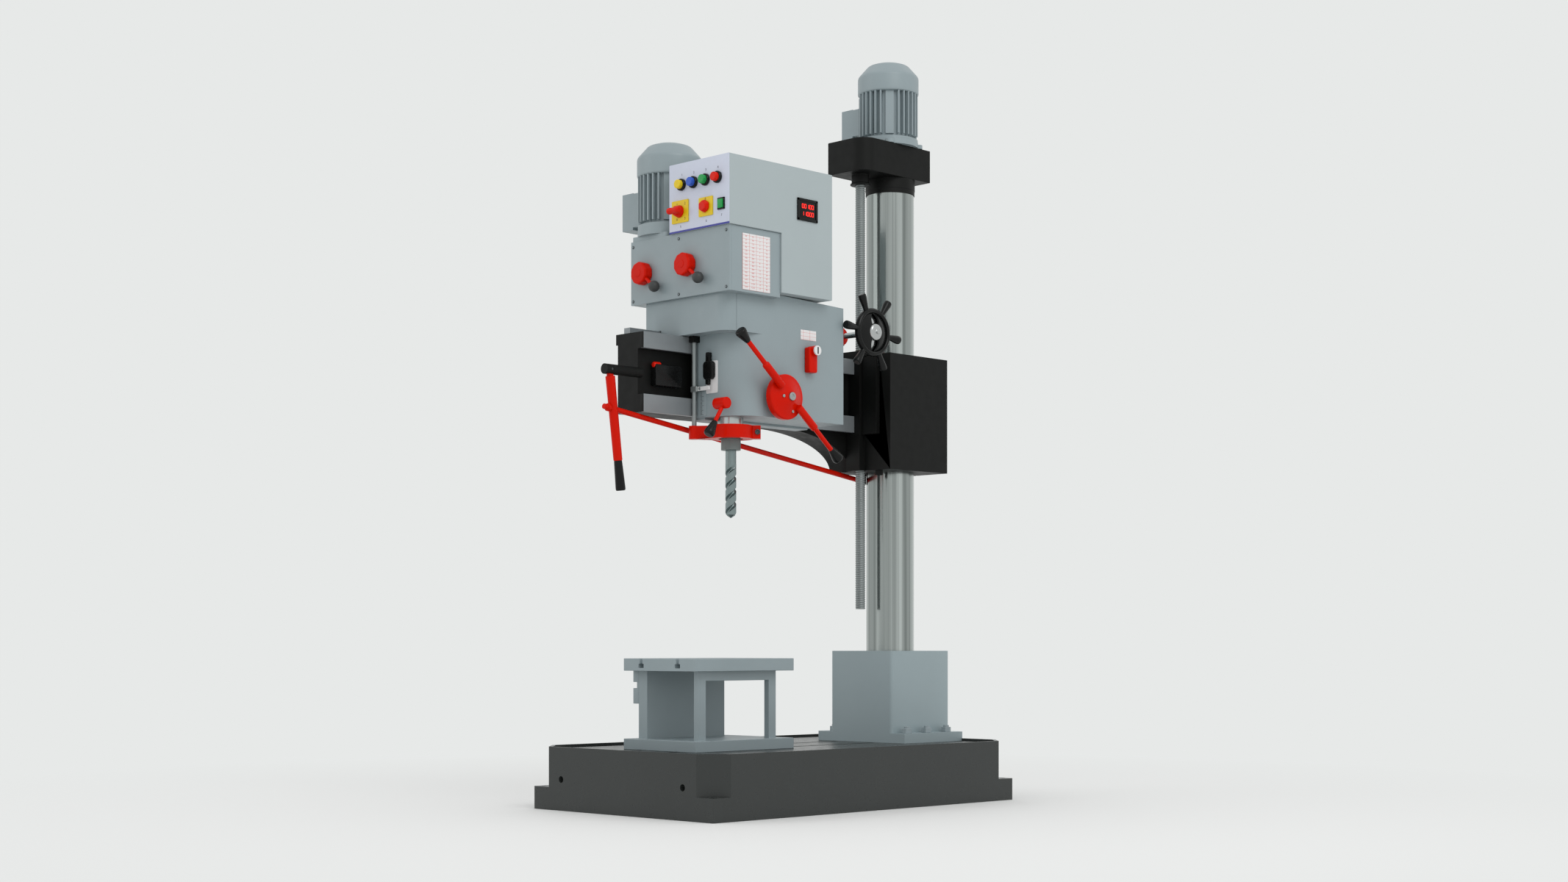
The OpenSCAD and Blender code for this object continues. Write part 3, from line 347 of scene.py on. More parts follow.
# slab along one axis: rounded rectangles stacked, each pulled in by e(1 - cos f) at depth e(1 - sin f)
def slab(low, high, axis, corner, edge, steps=5, rows=4):
    low, high = np.array(low, float), np.array(high, float)
    b, c = [(alongY, alongZ), (alongZ, alongX), (alongX, alongY)][axis]
    middle, half = (low + high) / 2, (high - low) / 2
    edge = min(edge, half[axis] * 0.95, half[b] * 0.9, half[c] * 0.9)
    corner = min(corner, half[b], half[c])
    leastCorner = 0.15
    f = np.linspace(math.pi / 2, 0, rows)
    sunk, pulledIn = edge * (1 - np.sin(f)), edge * (1 - np.cos(f))
    depth = np.concatenate([low[axis] + sunk, high[axis] - sunk[::-1]])
    inset = np.concatenate([pulledIn, pulledIn[::-1]])[:, None]
    a = np.linspace(0, math.pi / 2, steps)[None, :] + np.arange(4)[:, None] * math.pi / 2
    signB, signC = np.array([1, -1, -1, 1])[:, None], np.array([1, 1, -1, -1])[:, None]
    k = np.maximum(corner - inset, leastCorner)
    alongB = middle[b] + (signB * np.ones_like(a)).ravel() * (half[b] - inset - k) + k * np.cos(a).ravel()
    alongC = middle[c] + (signC * np.ones_like(a)).ravel() * (half[c] - inset - k) + k * np.sin(a).ravel()
    points = np.empty((len(depth), a.size, 3))
    points[:, :, axis], points[:, :, b], points[:, :, c] = depth[:, None], alongB, alongC
    return grid(points)


# hair-thin mark, with the fewest points that still round it
def mark(low, high, axis, corner, edge):
    return slab(low, high, axis, corner, edge, steps=2, rows=2)


# upright frame of four slabs: its sides as wide as the first width, its bottom and top as the second
def border(low, high, axis, widths, corner, edge):
    bars = []
    for along, width in zip((alongX if axis == alongY else alongY, alongZ), widths):
        near, far = list(high), list(low)
        near[along] = low[along] + width
        far[along] = high[along] - width
        bars += [slab(low, near, axis, corner, edge), slab(far, high, axis, corner, edge)]
    return bars


# shape turned about an axis through a point: p' = centre + R (p - centre)
def rotated(shape, degrees, axis, centre):
    turn = np.array(Matrix.Rotation(math.radians(degrees), 3, axis))
    centre = np.array(centre, float)
    return (shape[0] - centre) @ turn.T + centre, shape[1]


# numbers as raised print: the font's outline, x laid along right, y along up, thickness along their normal
def figures(text, size, origin, right, up, depth=0.12, spacing=1.0):
    font = bpy.data.curves.new("figures", "FONT")
    font.body, font.size, font.align_x, font.space_line = text, size, "CENTER", spacing
    font.resolution_u, font.extrude = 2, depth
    holder = bpy.data.objects.new("figures", font)
    mesh = bpy.data.meshes.new_from_object(holder)
    flat = np.zeros(len(mesh.vertices) * 3)
    mesh.vertices.foreach_get("co", flat)
    right, up = np.array(right, float), np.array(up, float)
    points = np.array(origin, float) + flat.reshape(-1, 3) @ np.stack([right, up, np.cross(right, up)])
    faces = [list(face.vertices) for face in mesh.polygons]
    bpy.data.objects.remove(holder)
    bpy.data.meshes.remove(mesh)
    return points, faces


# a piece gets its material, rides with its node's body and, unless told otherwise, stands for the node
def settle(thing, node, material, stands=True):
    thing.data.materials.clear()
    thing.data.materials.append(material)
    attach(thing, bodyOf[node])
    if stands:
        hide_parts(node)


# shapes joined into one piece, smooth but for edges over a limit in degrees
def piece(name, shapes, slot, node, finish=None, limit=38, stands=True):
    starts = np.cumsum([0] + [len(points) for points, _ in shapes])
    points = np.concatenate([points for points, _ in shapes]) * mm
    faces = [[i + start for i in face] for start, (_, members) in zip(starts, shapes) for face in members]
    mesh = bpy.data.meshes.new(name)
    mesh.from_pydata(points.tolist(), [], faces)
    work = bmesh.new()
    work.from_mesh(mesh)
    bmesh.ops.remove_doubles(work, verts=work.verts, dist=1e-7)
    bmesh.ops.recalc_face_normals(work, faces=work.faces)
    work.to_mesh(mesh)
    work.free()
    mesh.shade_smooth()
    mesh.set_sharp_from_angle(angle=math.radians(limit))
    thing = bpy.data.objects.new(name, mesh)
    bpy.context.scene.collection.objects.link(thing)
    settle(thing, node, finishes[finish or slot], stands)


# CAD nodes: edge radius in millimetres, and the finish where it isn't the slot's own
softening = {"merge": 0.00002, "flat": 0.5, "segments": 2, "limit": 40}
edgeRadii = {
    "base_casting": 3, "work_table": 1.5, "column_block": 2.5, "column_nuts": 0.8, "column": 0.8,
    "swing_bearing": 0, "column_collar": 1, "drive_block": 3, "lift_motor_case": 0.8, "lift_motor_box": 2.5,
    "arm_clamp": 3, "lift_nut": 1, "arm_casting": 2, "upper_way": 0.8, "lower_way": 0.8, "guide_rail": 0.6,
    "lever_bar": 1, "clamp_rod": 1.5, "rod_anchor": 1.5, "head_casting": 2.5, "head_keeper": 0.6,
    "gearbox_case": 2, "gearbox_cover": 1, "electrical_box": 1.5, "main_motor_case": 0.8,
    "main_motor_box": 2.5, "traverse_bracket": 2, "rod_bracket": 1, "feed_shaft": 0.8, "feed_idler": 0.8,
    "quill_pinion": 0.8, "quill": 0.8, "clamp_ring": 2, "spindle": 0.8,
}
# the column takes the steel with painted reflections
specialFinish = {"column": "column_steel", "column_block": "block_paint", "spindle": "matte_steel",
                 "electrical_box": "sheet_paint"}


# copy of a CAD node with its doubles merged, its flat faces joined and its edges rounded
def soften(node, radius, s):
    limit = math.radians(s["limit"])
    mesh = nodes[node].data.copy()
    work = bmesh.new()
    work.from_mesh(mesh)
    bmesh.ops.remove_doubles(work, verts=work.verts, dist=s["merge"])
    bmesh.ops.dissolve_limit(work, angle_limit=math.radians(s["flat"]), verts=work.verts, edges=work.edges,
                             delimit={"NORMAL"})
    for face in work.faces:
        face.smooth = True
    for edge in work.edges:
        edge.smooth = not (len(edge.link_faces) == 2 and edge.calc_face_angle(0) > limit)
    work.to_mesh(mesh)
    work.free()
    thing = bpy.data.objects.new("dressed_" + node, mesh)
    bpy.context.scene.collection.objects.link(thing)
    if radius:
        bevel = thing.modifiers.new("soft edges", "BEVEL")
        bevel.width, bevel.segments, bevel.limit_method = radius * mm, s["segments"], "ANGLE"
        bevel.angle_limit = limit
        bevel.harden_normals = True
        bevel.use_clamp_overlap = True
    slot = slotOf[node]
    settle(thing, node, finishes[specialFinish.get(node, slot)])


for node, radius in edgeRadii.items():
    soften(node, radius, softening)
print("nodes dressed:", len(edgeRadii))

# lifting screw: radius at height z and angle a is R - depth * |2 frac(z / pitch - a / 2 pi) - 1|
liftScrew = {"axis": (0, 363), "low": 603.5, "high": 2048.5, "radius": 16, "pitch": 7.0, "depth": 2.2,
             "rowsPerTurn": 5, "segments": 24}


def screwShape(s):
    z = np.arange(s["low"], s["high"], s["pitch"] / s["rowsPerTurn"])[:, None]
    a = np.linspace(0, 2 * math.pi, s["segments"], endpoint=False)[None, :]
    turn = z / s["pitch"] - a / (2 * math.pi)
    r = s["radius"] - s["depth"] * np.abs(2 * (turn - np.floor(turn)) - 1)
    x, y = s["axis"][0] + r * np.cos(a), s["axis"][1] + r * np.sin(a)
    return grid(np.stack([x, y, z + 0 * a], -1))


piece("liftingScrew", [screwShape(liftScrew)], "machined_iron", "lifting_screw", "screw_steel", limit=80)

# twist drill: at share u of the way from tip to shank and angle a, two right-hand flutes sink the radius by
# flute * sqrt((cos 2(a - 2 pi turns u) - k) / (1 - k)), with k the land and none below it; they fade
# out at the shank, which is relieved above its shoulder, and the point is a cone of 118 degrees
twistDrill = {"axis": (94, -300), "tip": 863, "shank": 1018, "top": 1136, "radius": 16, "turns": 2.05,
              "flute": 0.5, "land": 0.4, "fade": 16, "cone": 9.6, "point": 14, "pointRows": 12,
              "rowGap": 0.8, "fluteRows": 170, "shoulder": 5, "shoulderHalf": 1, "relief": 0.2,
              "segments": 72}


def drillShape(s):
    tip, shank, half = s["tip"], s["shank"], s["shoulderHalf"]
    shoulder = shank + s["shoulder"]
    z = np.concatenate([tip + np.linspace(0, s["point"], s["pointRows"]),
                        np.linspace(tip + s["point"] + s["rowGap"], shoulder - half, s["fluteRows"]),
                        np.array([shoulder + half, s["top"]])])[:, None]
    a = np.linspace(0, 2 * math.pi, s["segments"], endpoint=False)[None, :]
    along = (z - tip) / (shank - tip)
    wave = np.cos(2 * (a - 2 * math.pi * s["turns"] * along))
    flute = np.clip((wave - s["land"]) / (1 - s["land"]), 0, 1) ** 0.5
    fade = np.clip((shank - z) / s["fade"], 0, 1)
    cone = np.clip((z - tip + core) / s["cone"], 0, 1)
    r = s["radius"] * (1 - s["flute"] * flute * fade) * cone
    r = np.where(z > shoulder, s["radius"] - s["relief"], r)
    return grid(np.stack([s["axis"][0] + r * np.cos(a), s["axis"][1] + r * np.sin(a), z + 0 * a], -1))


piece("twistDrill", [drillShape(twistDrill)], "tool_steel", "drill", limit=32)
print("screw and drill made")

# fan cowls: skirt, sloping crown and flat top turned round the motor's axis
# in this and every other profile, a corner is a station along the axis and a radius
motors = {"lift": (0, 496, 2263), "main": (-131, -339, 1890)}
cowl = {"corners": [(0, 98), (57, 98), (94, 65), (102, 39)], "top": 104}
for name, foot in motors.items():
    shape = spun(cowl["corners"], foot, upward, soft=7, steps=6, segments=96, tip=cowl["top"])
    piece(name + "Cowl", [shape], "grey_paint", name + "_motor_cowl", limit=50)
print("cowls made")

# feed wheel: domed disc, two stepped levers, tapered grips, a centre bolt and two screws
feedWheel = {
    "centre": (229, -200, 1217.5), "disc": [(-23, 67), (0, 67), (2.5, 54), (11, 34), (19, 17)], "dome": 20,
    "leverX": 242, "angles": (140, 320), "lever": [(44, 11.5), (133, 11.5), (137, 7.2), (228, 7.2)],
    "grip": [(224, 8.2), (263, 17.5), (270, 15)], "bolt": [(18, 13), (24.5, 12.2), (24.5, 5.4), (22, 5)],
    "screw": [(0, 5), (3.4, 4.6)], "screwPlaces": ((13, -28, 0), (5.5, 17, -42)),
}


def feedWheelShapes(s):
    x, y, z = s["centre"]
    disc = spun(s["disc"], s["centre"], toRight, soft=5, steps=6, segments=96, tip=s["dome"])
    origin = (s["leverX"], y, z)
    levers = [spun(s["lever"], origin, spoke(angle), soft=3, segments=40) for angle in s["angles"]]
    grips = [spun(s["grip"], origin, spoke(angle), soft=4, steps=6, segments=40) for angle in s["angles"]]
    bolt = spun(s["bolt"], s["centre"], toRight, soft=1.2, steps=4, segments=40)
    screws = [spun(s["screw"], (x + dx, y + dy, z + dz), toRight, soft=1, steps=4, segments=20)
              for dx, dy, dz in s["screwPlaces"]]
    return [disc] + levers, grips, [bolt] + screws


red, black, plain = feedWheelShapes(feedWheel)
piece("feedWheelDisc", red, "red_paint", "feed_wheel")
piece("feedWheelGrips", black, "black_plastic", "feed_wheel", stands=False)
piece("feedWheelBolt", plain, "fasteners", "feed_wheel", "bright_screws", stands=False)

# traverse handwheel: a ring, a polished hub and back, a nut, two webs and six grips that widen outwards
# a web's front stands step + rise cos(90 u) out from the ring's middle, for share u of the way from its
# inner to its outer radius; between the webs, leaf-shaped openings reach out from the hub, half as wide as
# sqrt(R^2 - (r - place)^2) - (R - width) at radius r, with R the radius of the leaf's two arcs
handwheel = {
    "centre": (203, 199, 1450), "ring": [(-12, 66), (-6, 74), (6, 74), (12, 66), (8, 59), (-12, 59)],
    "grip": [(66, 8.4), (80, 8.6), (110, 12.8), (120, 12.6), (122, 10.5)], "grips": 6, "firstGrip": -6,
    "back": [(-12, 60), (-8, 60), (-4, 50), (0, 40), (3, 26)],
    "hub": [(-16, 24), (12, 27), (19, 23), (22, 12)], "nut": [(18, 8), (26, 7.4)],
    "web": {"inner": 22, "outer": 62, "step": 2, "rise": 12, "thick": 7, "rows": 18, "columns": 20},
    "leaf": {"width": 17, "length": 23, "place": 37, "least": 0.2},
}


def webShape(s, side):
    x, y, z = s["centre"]
    web, leaf = s["web"], s["leaf"]
    r = np.linspace(web["inner"], web["outer"], web["rows"])[:, None]
    share = (r - web["inner"]) / (web["outer"] - web["inner"])
    front = x + web["step"] + web["rise"] * np.cos(math.pi / 2 * share)
    bend = (leaf["length"] ** 2 + leaf["width"] ** 2) / (2 * leaf["width"])
    half = np.sqrt(np.maximum(bend ** 2 - (r - leaf["place"]) ** 2, 0)) - bend + leaf["width"]
    first = np.arcsin(np.maximum(half, leaf["least"]) / r)
    across = np.linspace(0, 1, web["columns"])[None, :]
    angle = first + (math.pi - 2 * first) * across
    loop = np.concatenate([angle, angle[:, ::-1]], 1)
    depth = np.concatenate([front + 0 * across, front - web["thick"] + 0 * across], 1)
    return grid(np.stack([depth, y + side * r * np.sin(loop), z + r * np.cos(loop)], -1))


def handwheelShapes(s):
    rim = spunRing(s["ring"], s["centre"], toRight, soft=4, steps=5, segments=96)
    grips = [spun(s["grip"], s["centre"], spoke(s["firstGrip"] + turn), soft=3, steps=6, segments=32)
             for turn in range(0, 360, 360 // s["grips"])]
    webs = [webShape(s, side) for side in (-1, 1)]
    back = spun(s["back"], s["centre"], toRight, soft=2, segments=64)
    hub = spun(s["hub"], s["centre"], toRight, soft=4, steps=6, segments=64)
    nut = spun(s["nut"], s["centre"], toRight, soft=1.5, segments=6)
    return [rim] + grips + webs, [back, hub, nut]


black, polished = handwheelShapes(handwheel)
piece("handwheelRim", black, "black_plastic", "traverse_wheel")
piece("handwheelHub", polished, "ground_steel", "traverse_wheel", "polished", stands=False)

# traverse shaft with its pinion and red collar: start and end along X, and radius
traverse = {"axis": (199, 1450), "shaft": (-122, 197, 9), "pinion": (-121, -96.5, 28.4),
            "collar": (61, 76, 27)}


def traverseBar(s, part, **shape):
    (start, end, radius), axis = s[part], s["axis"]
    return bar((start, *axis), (end, *axis), radius, **shape)


shaft = [traverseBar(traverse, "shaft"), traverseBar(traverse, "pinion")]
piece("traverseShaft", shaft, "ground_steel", "traverse_shaft")
piece("traverseCollar", [traverseBar(traverse, "collar", soft=3, segments=64)], "red_paint", "traverse_shaft",
      stands=False)
print("handwheels made")

# speed selectors: lobed knob, short lever between two points, hub and ball, given from the knob's foot
selectors = {"left": (-147.5, -422.5, 1596), "right": (42.3, -422.5, 1600)}
selector = {"knob": [(0.4, 33), (7, 34.5), (26, 34), (30, 31)], "lobes": (10, 0.035),
            "lever": ((18, -20, -12), (60, -22, -43), 5.4, 4.6), "hub": ((0, -0.5, 0), (0, -31, 0), 12),
            "ball": (64, -22, -46), "ballRadius": 17, "pole": 0.02}


# the ball's profile is (-R cos f, R sin f) for f from one pole to the other
def selectorShapes(foot, s):
    foot = np.array(foot)
    leverStart, leverEnd, radius, endRadius = s["lever"]
    hubStart, hubEnd, hubRadius = s["hub"]
    knob = spun(s["knob"], foot, toFront, soft=3, steps=6, segments=120, lobes=s["lobes"])
    lever = bar(foot + leverStart, foot + leverEnd, radius, endRadius)
    hub = bar(foot + hubStart, foot + hubEnd, hubRadius, soft=1)
    f = np.linspace(s["pole"], math.pi - s["pole"], 24)
    sphere = np.stack([-s["ballRadius"] * np.cos(f), s["ballRadius"] * np.sin(f)], 1)
    return [knob, lever, hub], [turned(sphere, foot + s["ball"], toRight, 40)]


for name, foot in selectors.items():
    red, black = selectorShapes(foot, selector)
    piece(name + "Selector", red, "red_paint", name + "_selector")
    piece(name + "SelectorBall", black, "black_plastic", name + "_selector", "ball_plastic", stands=False)

# panel: printed sheet, and a black collar and a coloured cap for each button
panel = {"face": -430.0, "left": -32, "right": 222, "low": 1698, "high": 1900, "thick": 2,
         "buttonZ": 1836, "switchZ": 1758}
buttons = {"yellow": 23, "blue": 74, "green": 125, "red": 176}
button = {"cap": [(5, 13), (20.5, 13), (22, 10.5)], "capTop": 21.2,
          "collar": [(0, 13.6), (0, 17.5), (7, 17.5), (10, 15.5), (10, 13.6)]}
face = panel["face"]
sheet = slab((panel["left"], face, panel["low"]), (panel["right"], face + panel["thick"], panel["high"]),
             alongY, corner=1.5, edge=0.5)
piece("controlPanel", [sheet], "panel_sheet", "control_panel", "panel_print")
collars = [spunRing(button["collar"], (x, face, panel["buttonZ"]), toFront, soft=1.5, steps=4, segments=48)
           for x in buttons.values()]
piece("buttonCollars", collars, "black_plastic", "control_panel", stands=False)
for name, x in buttons.items():
    cap = spun(button["cap"], (x, face, panel["buttonZ"]), toFront, soft=1.6, tip=button["capTop"])
    piece(name + "Cap", [cap], name + "_plastic", name + "_button")

# switch plates by middle, half width and half height, the rocker's frame, and plain numbers on the panel
switchPlates = [(17.6, 35, 33), (127, 29, 27.5)]
plateThick = 4
plates = [slab((x - w, face - plateThick, panel["switchZ"] - h), (x + w, face, panel["switchZ"] + h),
               alongY, corner=2.5, edge=0.8) for x, w, h in switchPlates]
piece("switchPlates", plates, "yellow_plastic", "switch_plates")
rockerFrame = border((177, face - plateThick, 1741), (205, face, 1775), alongY, (3.6, 3.4),
                     corner=1, edge=0.5)
piece("rockerFrame", rockerFrame, "black_plastic", "switch_plates", stands=False)
panelFigures = [
    {"size": 11, "proud": 4.05,
     "marks": [("1", 6, 1776), ("2", 40, 1776), ("3", 40, 1732), ("0", 6, 1732), ("0", 127, 1776)]},
    {"size": 10, "proud": 0.05,
     "marks": [("1", 23, 1862), ("2", 74, 1862), ("3", 125, 1862), ("4", 176, 1862), ("5", 17.6, 1711),
               ("6", 127, 1714), ("7", 191, 1722)]},
]
marks = [figures(text, group["size"], (x, face - group["proud"], z), toRight, upward)
         for group in panelFigures for text, x, z in group["marks"]]
piece("panelFigures", marks, "black_plastic", "control_panel", stands=False)

# lever switch: a round base and a bar handle with rounded ends, across its front
leverSwitch = {"x": 17.6, "base": (4.4, 26), "radii": (19, 13), "handleX": -6.4, "handleOut": 28.2,
               "handle": [(0, 9), (8, 10), (24, 8.5), (40, 10), (48, 9)]}


def leverSwitchShapes(s, z):
    start, end = ((s["x"], face - out, z) for out in s["base"])
    place = (s["handleX"], face - s["handleOut"], z)
    handle = spun(s["handle"], place, toRight, soft=5, steps=6, segments=40)
    return [handle, bar(start, end, *s["radii"], soft=3)]


piece("leverSwitch", leverSwitchShapes(leverSwitch, panel["switchZ"]), "red_plastic", "lever_switch")

# round switch: lobed knob
roundSwitch = {"x": 127, "out": 4.2, "knob": [(0.4, 18), (7, 18), (8, 16.5), (13, 15.5), (15, 13)],
               "lobes": (6, 0.08)}
knob = spun(roundSwitch["knob"], (roundSwitch["x"], face - roundSwitch["out"], panel["switchZ"]), toFront,
            soft=1.8, segments=96, lobes=roundSwitch["lobes"])
piece("roundSwitch", [knob], "red_plastic", "round_switch")

# rocker: a slab tilted about the middle of its back
rocker = {"x": (181.2, 200.8), "out": (8.5, 2.6), "z": (1745.2, 1770.8), "middle": 191, "tilt": 4}


def rockerShape(s):
    low, high = zip(s["x"], [face - out for out in s["out"]], s["z"])
    pivot = (s["middle"], high[1], panel["switchZ"])
    return rotated(slab(low, high, alongY, corner=2, edge=1.5), s["tilt"], "X", pivot)


piece("rocker", [rockerShape(rocker)], "green_plastic", "rocker_switch")

# display: bezel, window and two rows of seven-segment figures; a stroke is its place across and up the
# figure in shares, and whether it lies flat
display = {"x": 222, "y": (-152.6, -66.8), "z": (1745.5, 1811.5), "proud": 4, "bezel": 8,
           "window": 2.2, "windowInset": 4, "wide": 6.6, "tall": 11.5, "stroke": 2.0, "pitch": 10.4,
           "indent": 20, "litFrom": 2.0, "litTo": 2.7,
           "rows": (("00100", 38), ("11000", 16))}
strokes = [(0, 0, True), (0, 0.5, True), (0, 1, True), (0, 0, False), (0, 0.5, False), (1, 0, False),
           (1, 0.5, False)]
strokesOf = {"0": [0, 2, 3, 4, 5, 6], "1": [5, 6]}


def bezelShapes(s):
    x, (front, rear), (low, high) = s["x"], s["y"], s["z"]
    inset = s["windowInset"]
    bezel = border((x, front, low), (x + s["proud"], rear, high), alongX, (s["bezel"], s["bezel"]),
                   corner=2, edge=1)
    window = slab((x, front + inset, low + inset), (x + s["window"], rear - inset, high - inset),
                  alongX, corner=1, edge=0.3)
    return bezel + [window]


def litShapes(s):
    x, front, low, stroke = s["x"] + s["litFrom"], s["y"][0], s["z"][0], s["stroke"]
    shapes = []
    for text, rise in s["rows"]:
        for i, digit in enumerate(text):
            for k in strokesOf[digit]:
                across, upwards, flat = strokes[k]
                y = front + s["indent"] + i * s["pitch"] + across * s["wide"]
                z = low + rise + upwards * s["tall"]
                y, z = (y, z - stroke / 2) if flat else (y - stroke / 2, z)
                width, height = (s["wide"], stroke) if flat else (stroke, s["tall"] / 2)
                end = (s["x"] + s["litTo"], y + width, z + height)
                shapes.append(mark((x, y, z), end, alongX, corner=0.4, edge=0.15))
    return shapes


piece("displayBezel", bezelShapes(display), "black_plastic", "display")
piece("displayFigures", litShapes(display), "red_plastic", "display", "lit_red", stands=False)

# speed chart: printed plate with four columns of plain numbers
chart = {"x": 216, "y": (-371, -259), "z": (1516, 1679), "thick": 1, "printAt": 1.05, "printDepth": 0.04,
         "rows": 15.6, "size": 7}
columns = [[40, 50, 63, 80, 100, 125, 160, 200, 250, 315, 400, 500, 630, 800, 1000],
           [75, 90, 115, 140, 170, 210, 260, 320, 400, 490, 600, 740, 910, 1120, 1220],
           range(1, 16),
           [4, 6, 8, 10, 12, 14, 16, 18, 20, 24, 28, 30, 32, 36, 40]]


def chartShapes(s):
    (front, rear), (low, high) = s["y"], s["z"]
    plate = slab((s["x"], front, low), (s["x"] + s["thick"], rear, high), alongX, corner=1, edge=0.3)
    pitch = (high - low) / s["rows"]
    width = (rear - front) / len(columns)
    text = [figures("\n".join(map(str, values)), s["size"],
                    (s["x"] + s["printAt"], front + (i + 0.5) * width, high - pitch), toRear, upward,
                    s["printDepth"], pitch / s["size"]) for i, values in enumerate(columns)]
    return plate, text


plate, text = chartShapes(chart)
piece("speedChart", [plate], "chart_plate", "speed_chart", "chart_print")
piece("chartFigures", text, "red_plastic", "speed_chart", "red_ink", stands=False)
print("panel, display and chart made")

# clamping lever on the arm's end, all leaning about its pivot: flat eye and rod, pin, grip
clampLever = {"pivot": (-15, -676, 1278), "lean": 7, "eye": ((-6.6, -7.9, -30), (6.6, 7.9, 6.4)),
              "pin": 14, "pinRadius": 4, "rod": [(19, 14), (60, 13.6), (262, 13)],
              "grip": [(258, 11.2), (266, 12), (344, 14.6), (348, 12.5)]}


def clampLeverShapes(s):
    pivot = np.array(s["pivot"])
    low, high = s["eye"]
    half = np.array([s["pin"], 0, 0])
    eye = slab(pivot + low, pivot + high, alongX, corner=6, edge=1, steps=8)
    pin = bar(pivot - half, pivot + half, s["pinRadius"], soft=0.8)
    rod = spun(s["rod"], s["pivot"], downward, soft=3, segments=40)
    grip = spun(s["grip"], s["pivot"], downward, soft=3, steps=6, segments=40)
    return [rotated(shape, s["lean"], "X", s["pivot"]) for shape in (eye, rod, pin, grip)]


eye, rod, pin, grip = clampLeverShapes(clampLever)
piece("clampLever", [eye, rod], "red_paint", "clamp_lever")
piece("clampLeverPin", [pin], "fasteners", "clamp_lever", "dark_screws", stands=False)
piece("clampLeverGrip", [grip], "black_plastic", "clamp_lever", stands=False)

# quill clamp: a hub along X and a rod with a grip that hangs from it
quillClamp = {"axis": (-387, 1191), "hubX": 122, "hub": [(0, 17), (49, 17)], "rodX": 157, "angle": 237,
              "rod": (8, 72), "rodRadius": 6, "grip": [(66, 7.5), (104, 16.2), (112, 16), (116, 12.5)]}


def quillClampShapes(s):
    way = spoke(s["angle"])
    origin = np.array([s["rodX"], *s["axis"]])
    start, end = s["rod"]
    hub = spun(s["hub"], (s["hubX"], *s["axis"]), toRight, soft=4, steps=6)
    rod = bar(origin + start * way, origin + end * way, s["rodRadius"])
    return [hub, rod], [spun(s["grip"], origin, way, soft=4, steps=6, segments=40)]


red, black = quillClampShapes(quillClamp)
piece("spindleClamp", red, "red_paint", "spindle_clamp")
piece("spindleClampGrip", black, "black_plastic", "spindle_clamp", stands=False)

# feed selector: boss with a pale face and a dark slot, a hanging lever, and a printed label above
feedSelector = {"centre": (188, -64, 1367.5), "boss": [(0.3, 15), (32, 15)], "face": [(30, 14.6), (36, 14.6)],
                "lever": ((188.4, -86.5, 1302), (210, -51.5, 1378)),
                "slot": ((223.6, -66.5, 1357), (224.4, -61.5, 1378)),
                "label": ((188.0, -102, 1400), (188.8, -36, 1430))}
boss = spun(feedSelector["boss"], feedSelector["centre"], toRight, soft=2)
hanging = slab(*feedSelector["lever"], alongX, corner=6, edge=3)
bossFace = spun(feedSelector["face"], feedSelector["centre"], toRight, soft=1.2)
slot = slab(*feedSelector["slot"], alongX, corner=2, edge=0.3)
label = slab(*feedSelector["label"], alongX, corner=1, edge=0.3)
piece("feedSelector", [boss, hanging], "red_paint", "feed_selector")
piece("feedSelectorFace", [bossFace], "chart_plate", "feed_selector", stands=False)
piece("feedSelectorSlot", [slot], "black_plastic", "feed_selector", stands=False)
piece("feedLabel", [label], "chart_plate", "head_casting", "chart_print", stands=False)

# depth gauge: scale plate with ticks, white plate and sight
gauge = {"scale": ((24, -359, 1164), (51, -357, 1236)), "plate": ((50, -359, 1228), (99, -357, 1323)),
         "tickX": 26, "tickY": (-359.3, -358.9), "tickZ": (1167, 1234, 2.7), "tick": 8, "longTick": 14,
         "tickThick": 0.6, "tickGroup": 5}
sightParts = [{"ends": ((48, -371, 1268), (90, -358, 1322)), "corner": 12, "edge": 2.5},
              {"ends": ((58, -369, 1316), (74, -358, 1348)), "corner": 4, "edge": 1.5},
              {"ends": ((56, -368, 1253), (70, -358, 1272)), "corner": 3, "edge": 1.5}]


def tickShapes(s):
    near, far = s["tickY"]
    shapes = []
    for i, z in enumerate(np.arange(*s["tickZ"])):
        length = s["tick"] if i % s["tickGroup"] else s["longTick"]
        end = (s["tickX"] + length, far, z + s["tickThick"])
        shapes.append(mark((s["tickX"], near, z), end, alongY, corner=0.2, edge=0.1))
    return shapes


sight = [slab(*part["ends"], alongY, part["corner"], part["edge"]) for part in sightParts]
piece("depthScale", [slab(*gauge["scale"], alongY, corner=1, edge=0.4)], "grey_paint", "depth_gauge")
piece("depthPlate", [slab(*gauge["plate"], alongY, corner=4, edge=0.5)], "chart_plate", "depth_gauge",
      stands=False)
piece("depthTicks", tickShapes(gauge), "black_plastic", "depth_gauge", stands=False)
piece("depthSight", sight, "black_plastic", "depth_gauge", stands=False)

# depth rod with its stop block, nut and pointer
depthRod = {"ends": ((10, -369, 1135), (10, -369, 1500)), "radius": 7,
            "stop": ((1.2, -378, 1235), (29, -360.2, 1251)), "nut": [(0, 6.5), (7, 6.5)],
            "nutPlace": (34, -369, 1243), "pointer": ((28, -373, 1237), (78, -369, 1249))}
rod = bar(*depthRod["ends"], depthRod["radius"], soft=0.8)
stop = slab(*depthRod["stop"], alongZ, corner=4, edge=1.5)
nut = spun(depthRod["nut"], depthRod["nutPlace"], toRight, soft=1, segments=6)
pointer = slab(*depthRod["pointer"], alongY, corner=3, edge=0.8)
piece("depthRod", [rod, stop, nut], "ground_steel", "depth_rod", "rod_steel")
piece("depthPointer", [pointer], "chart_plate", "depth_rod", stands=False)

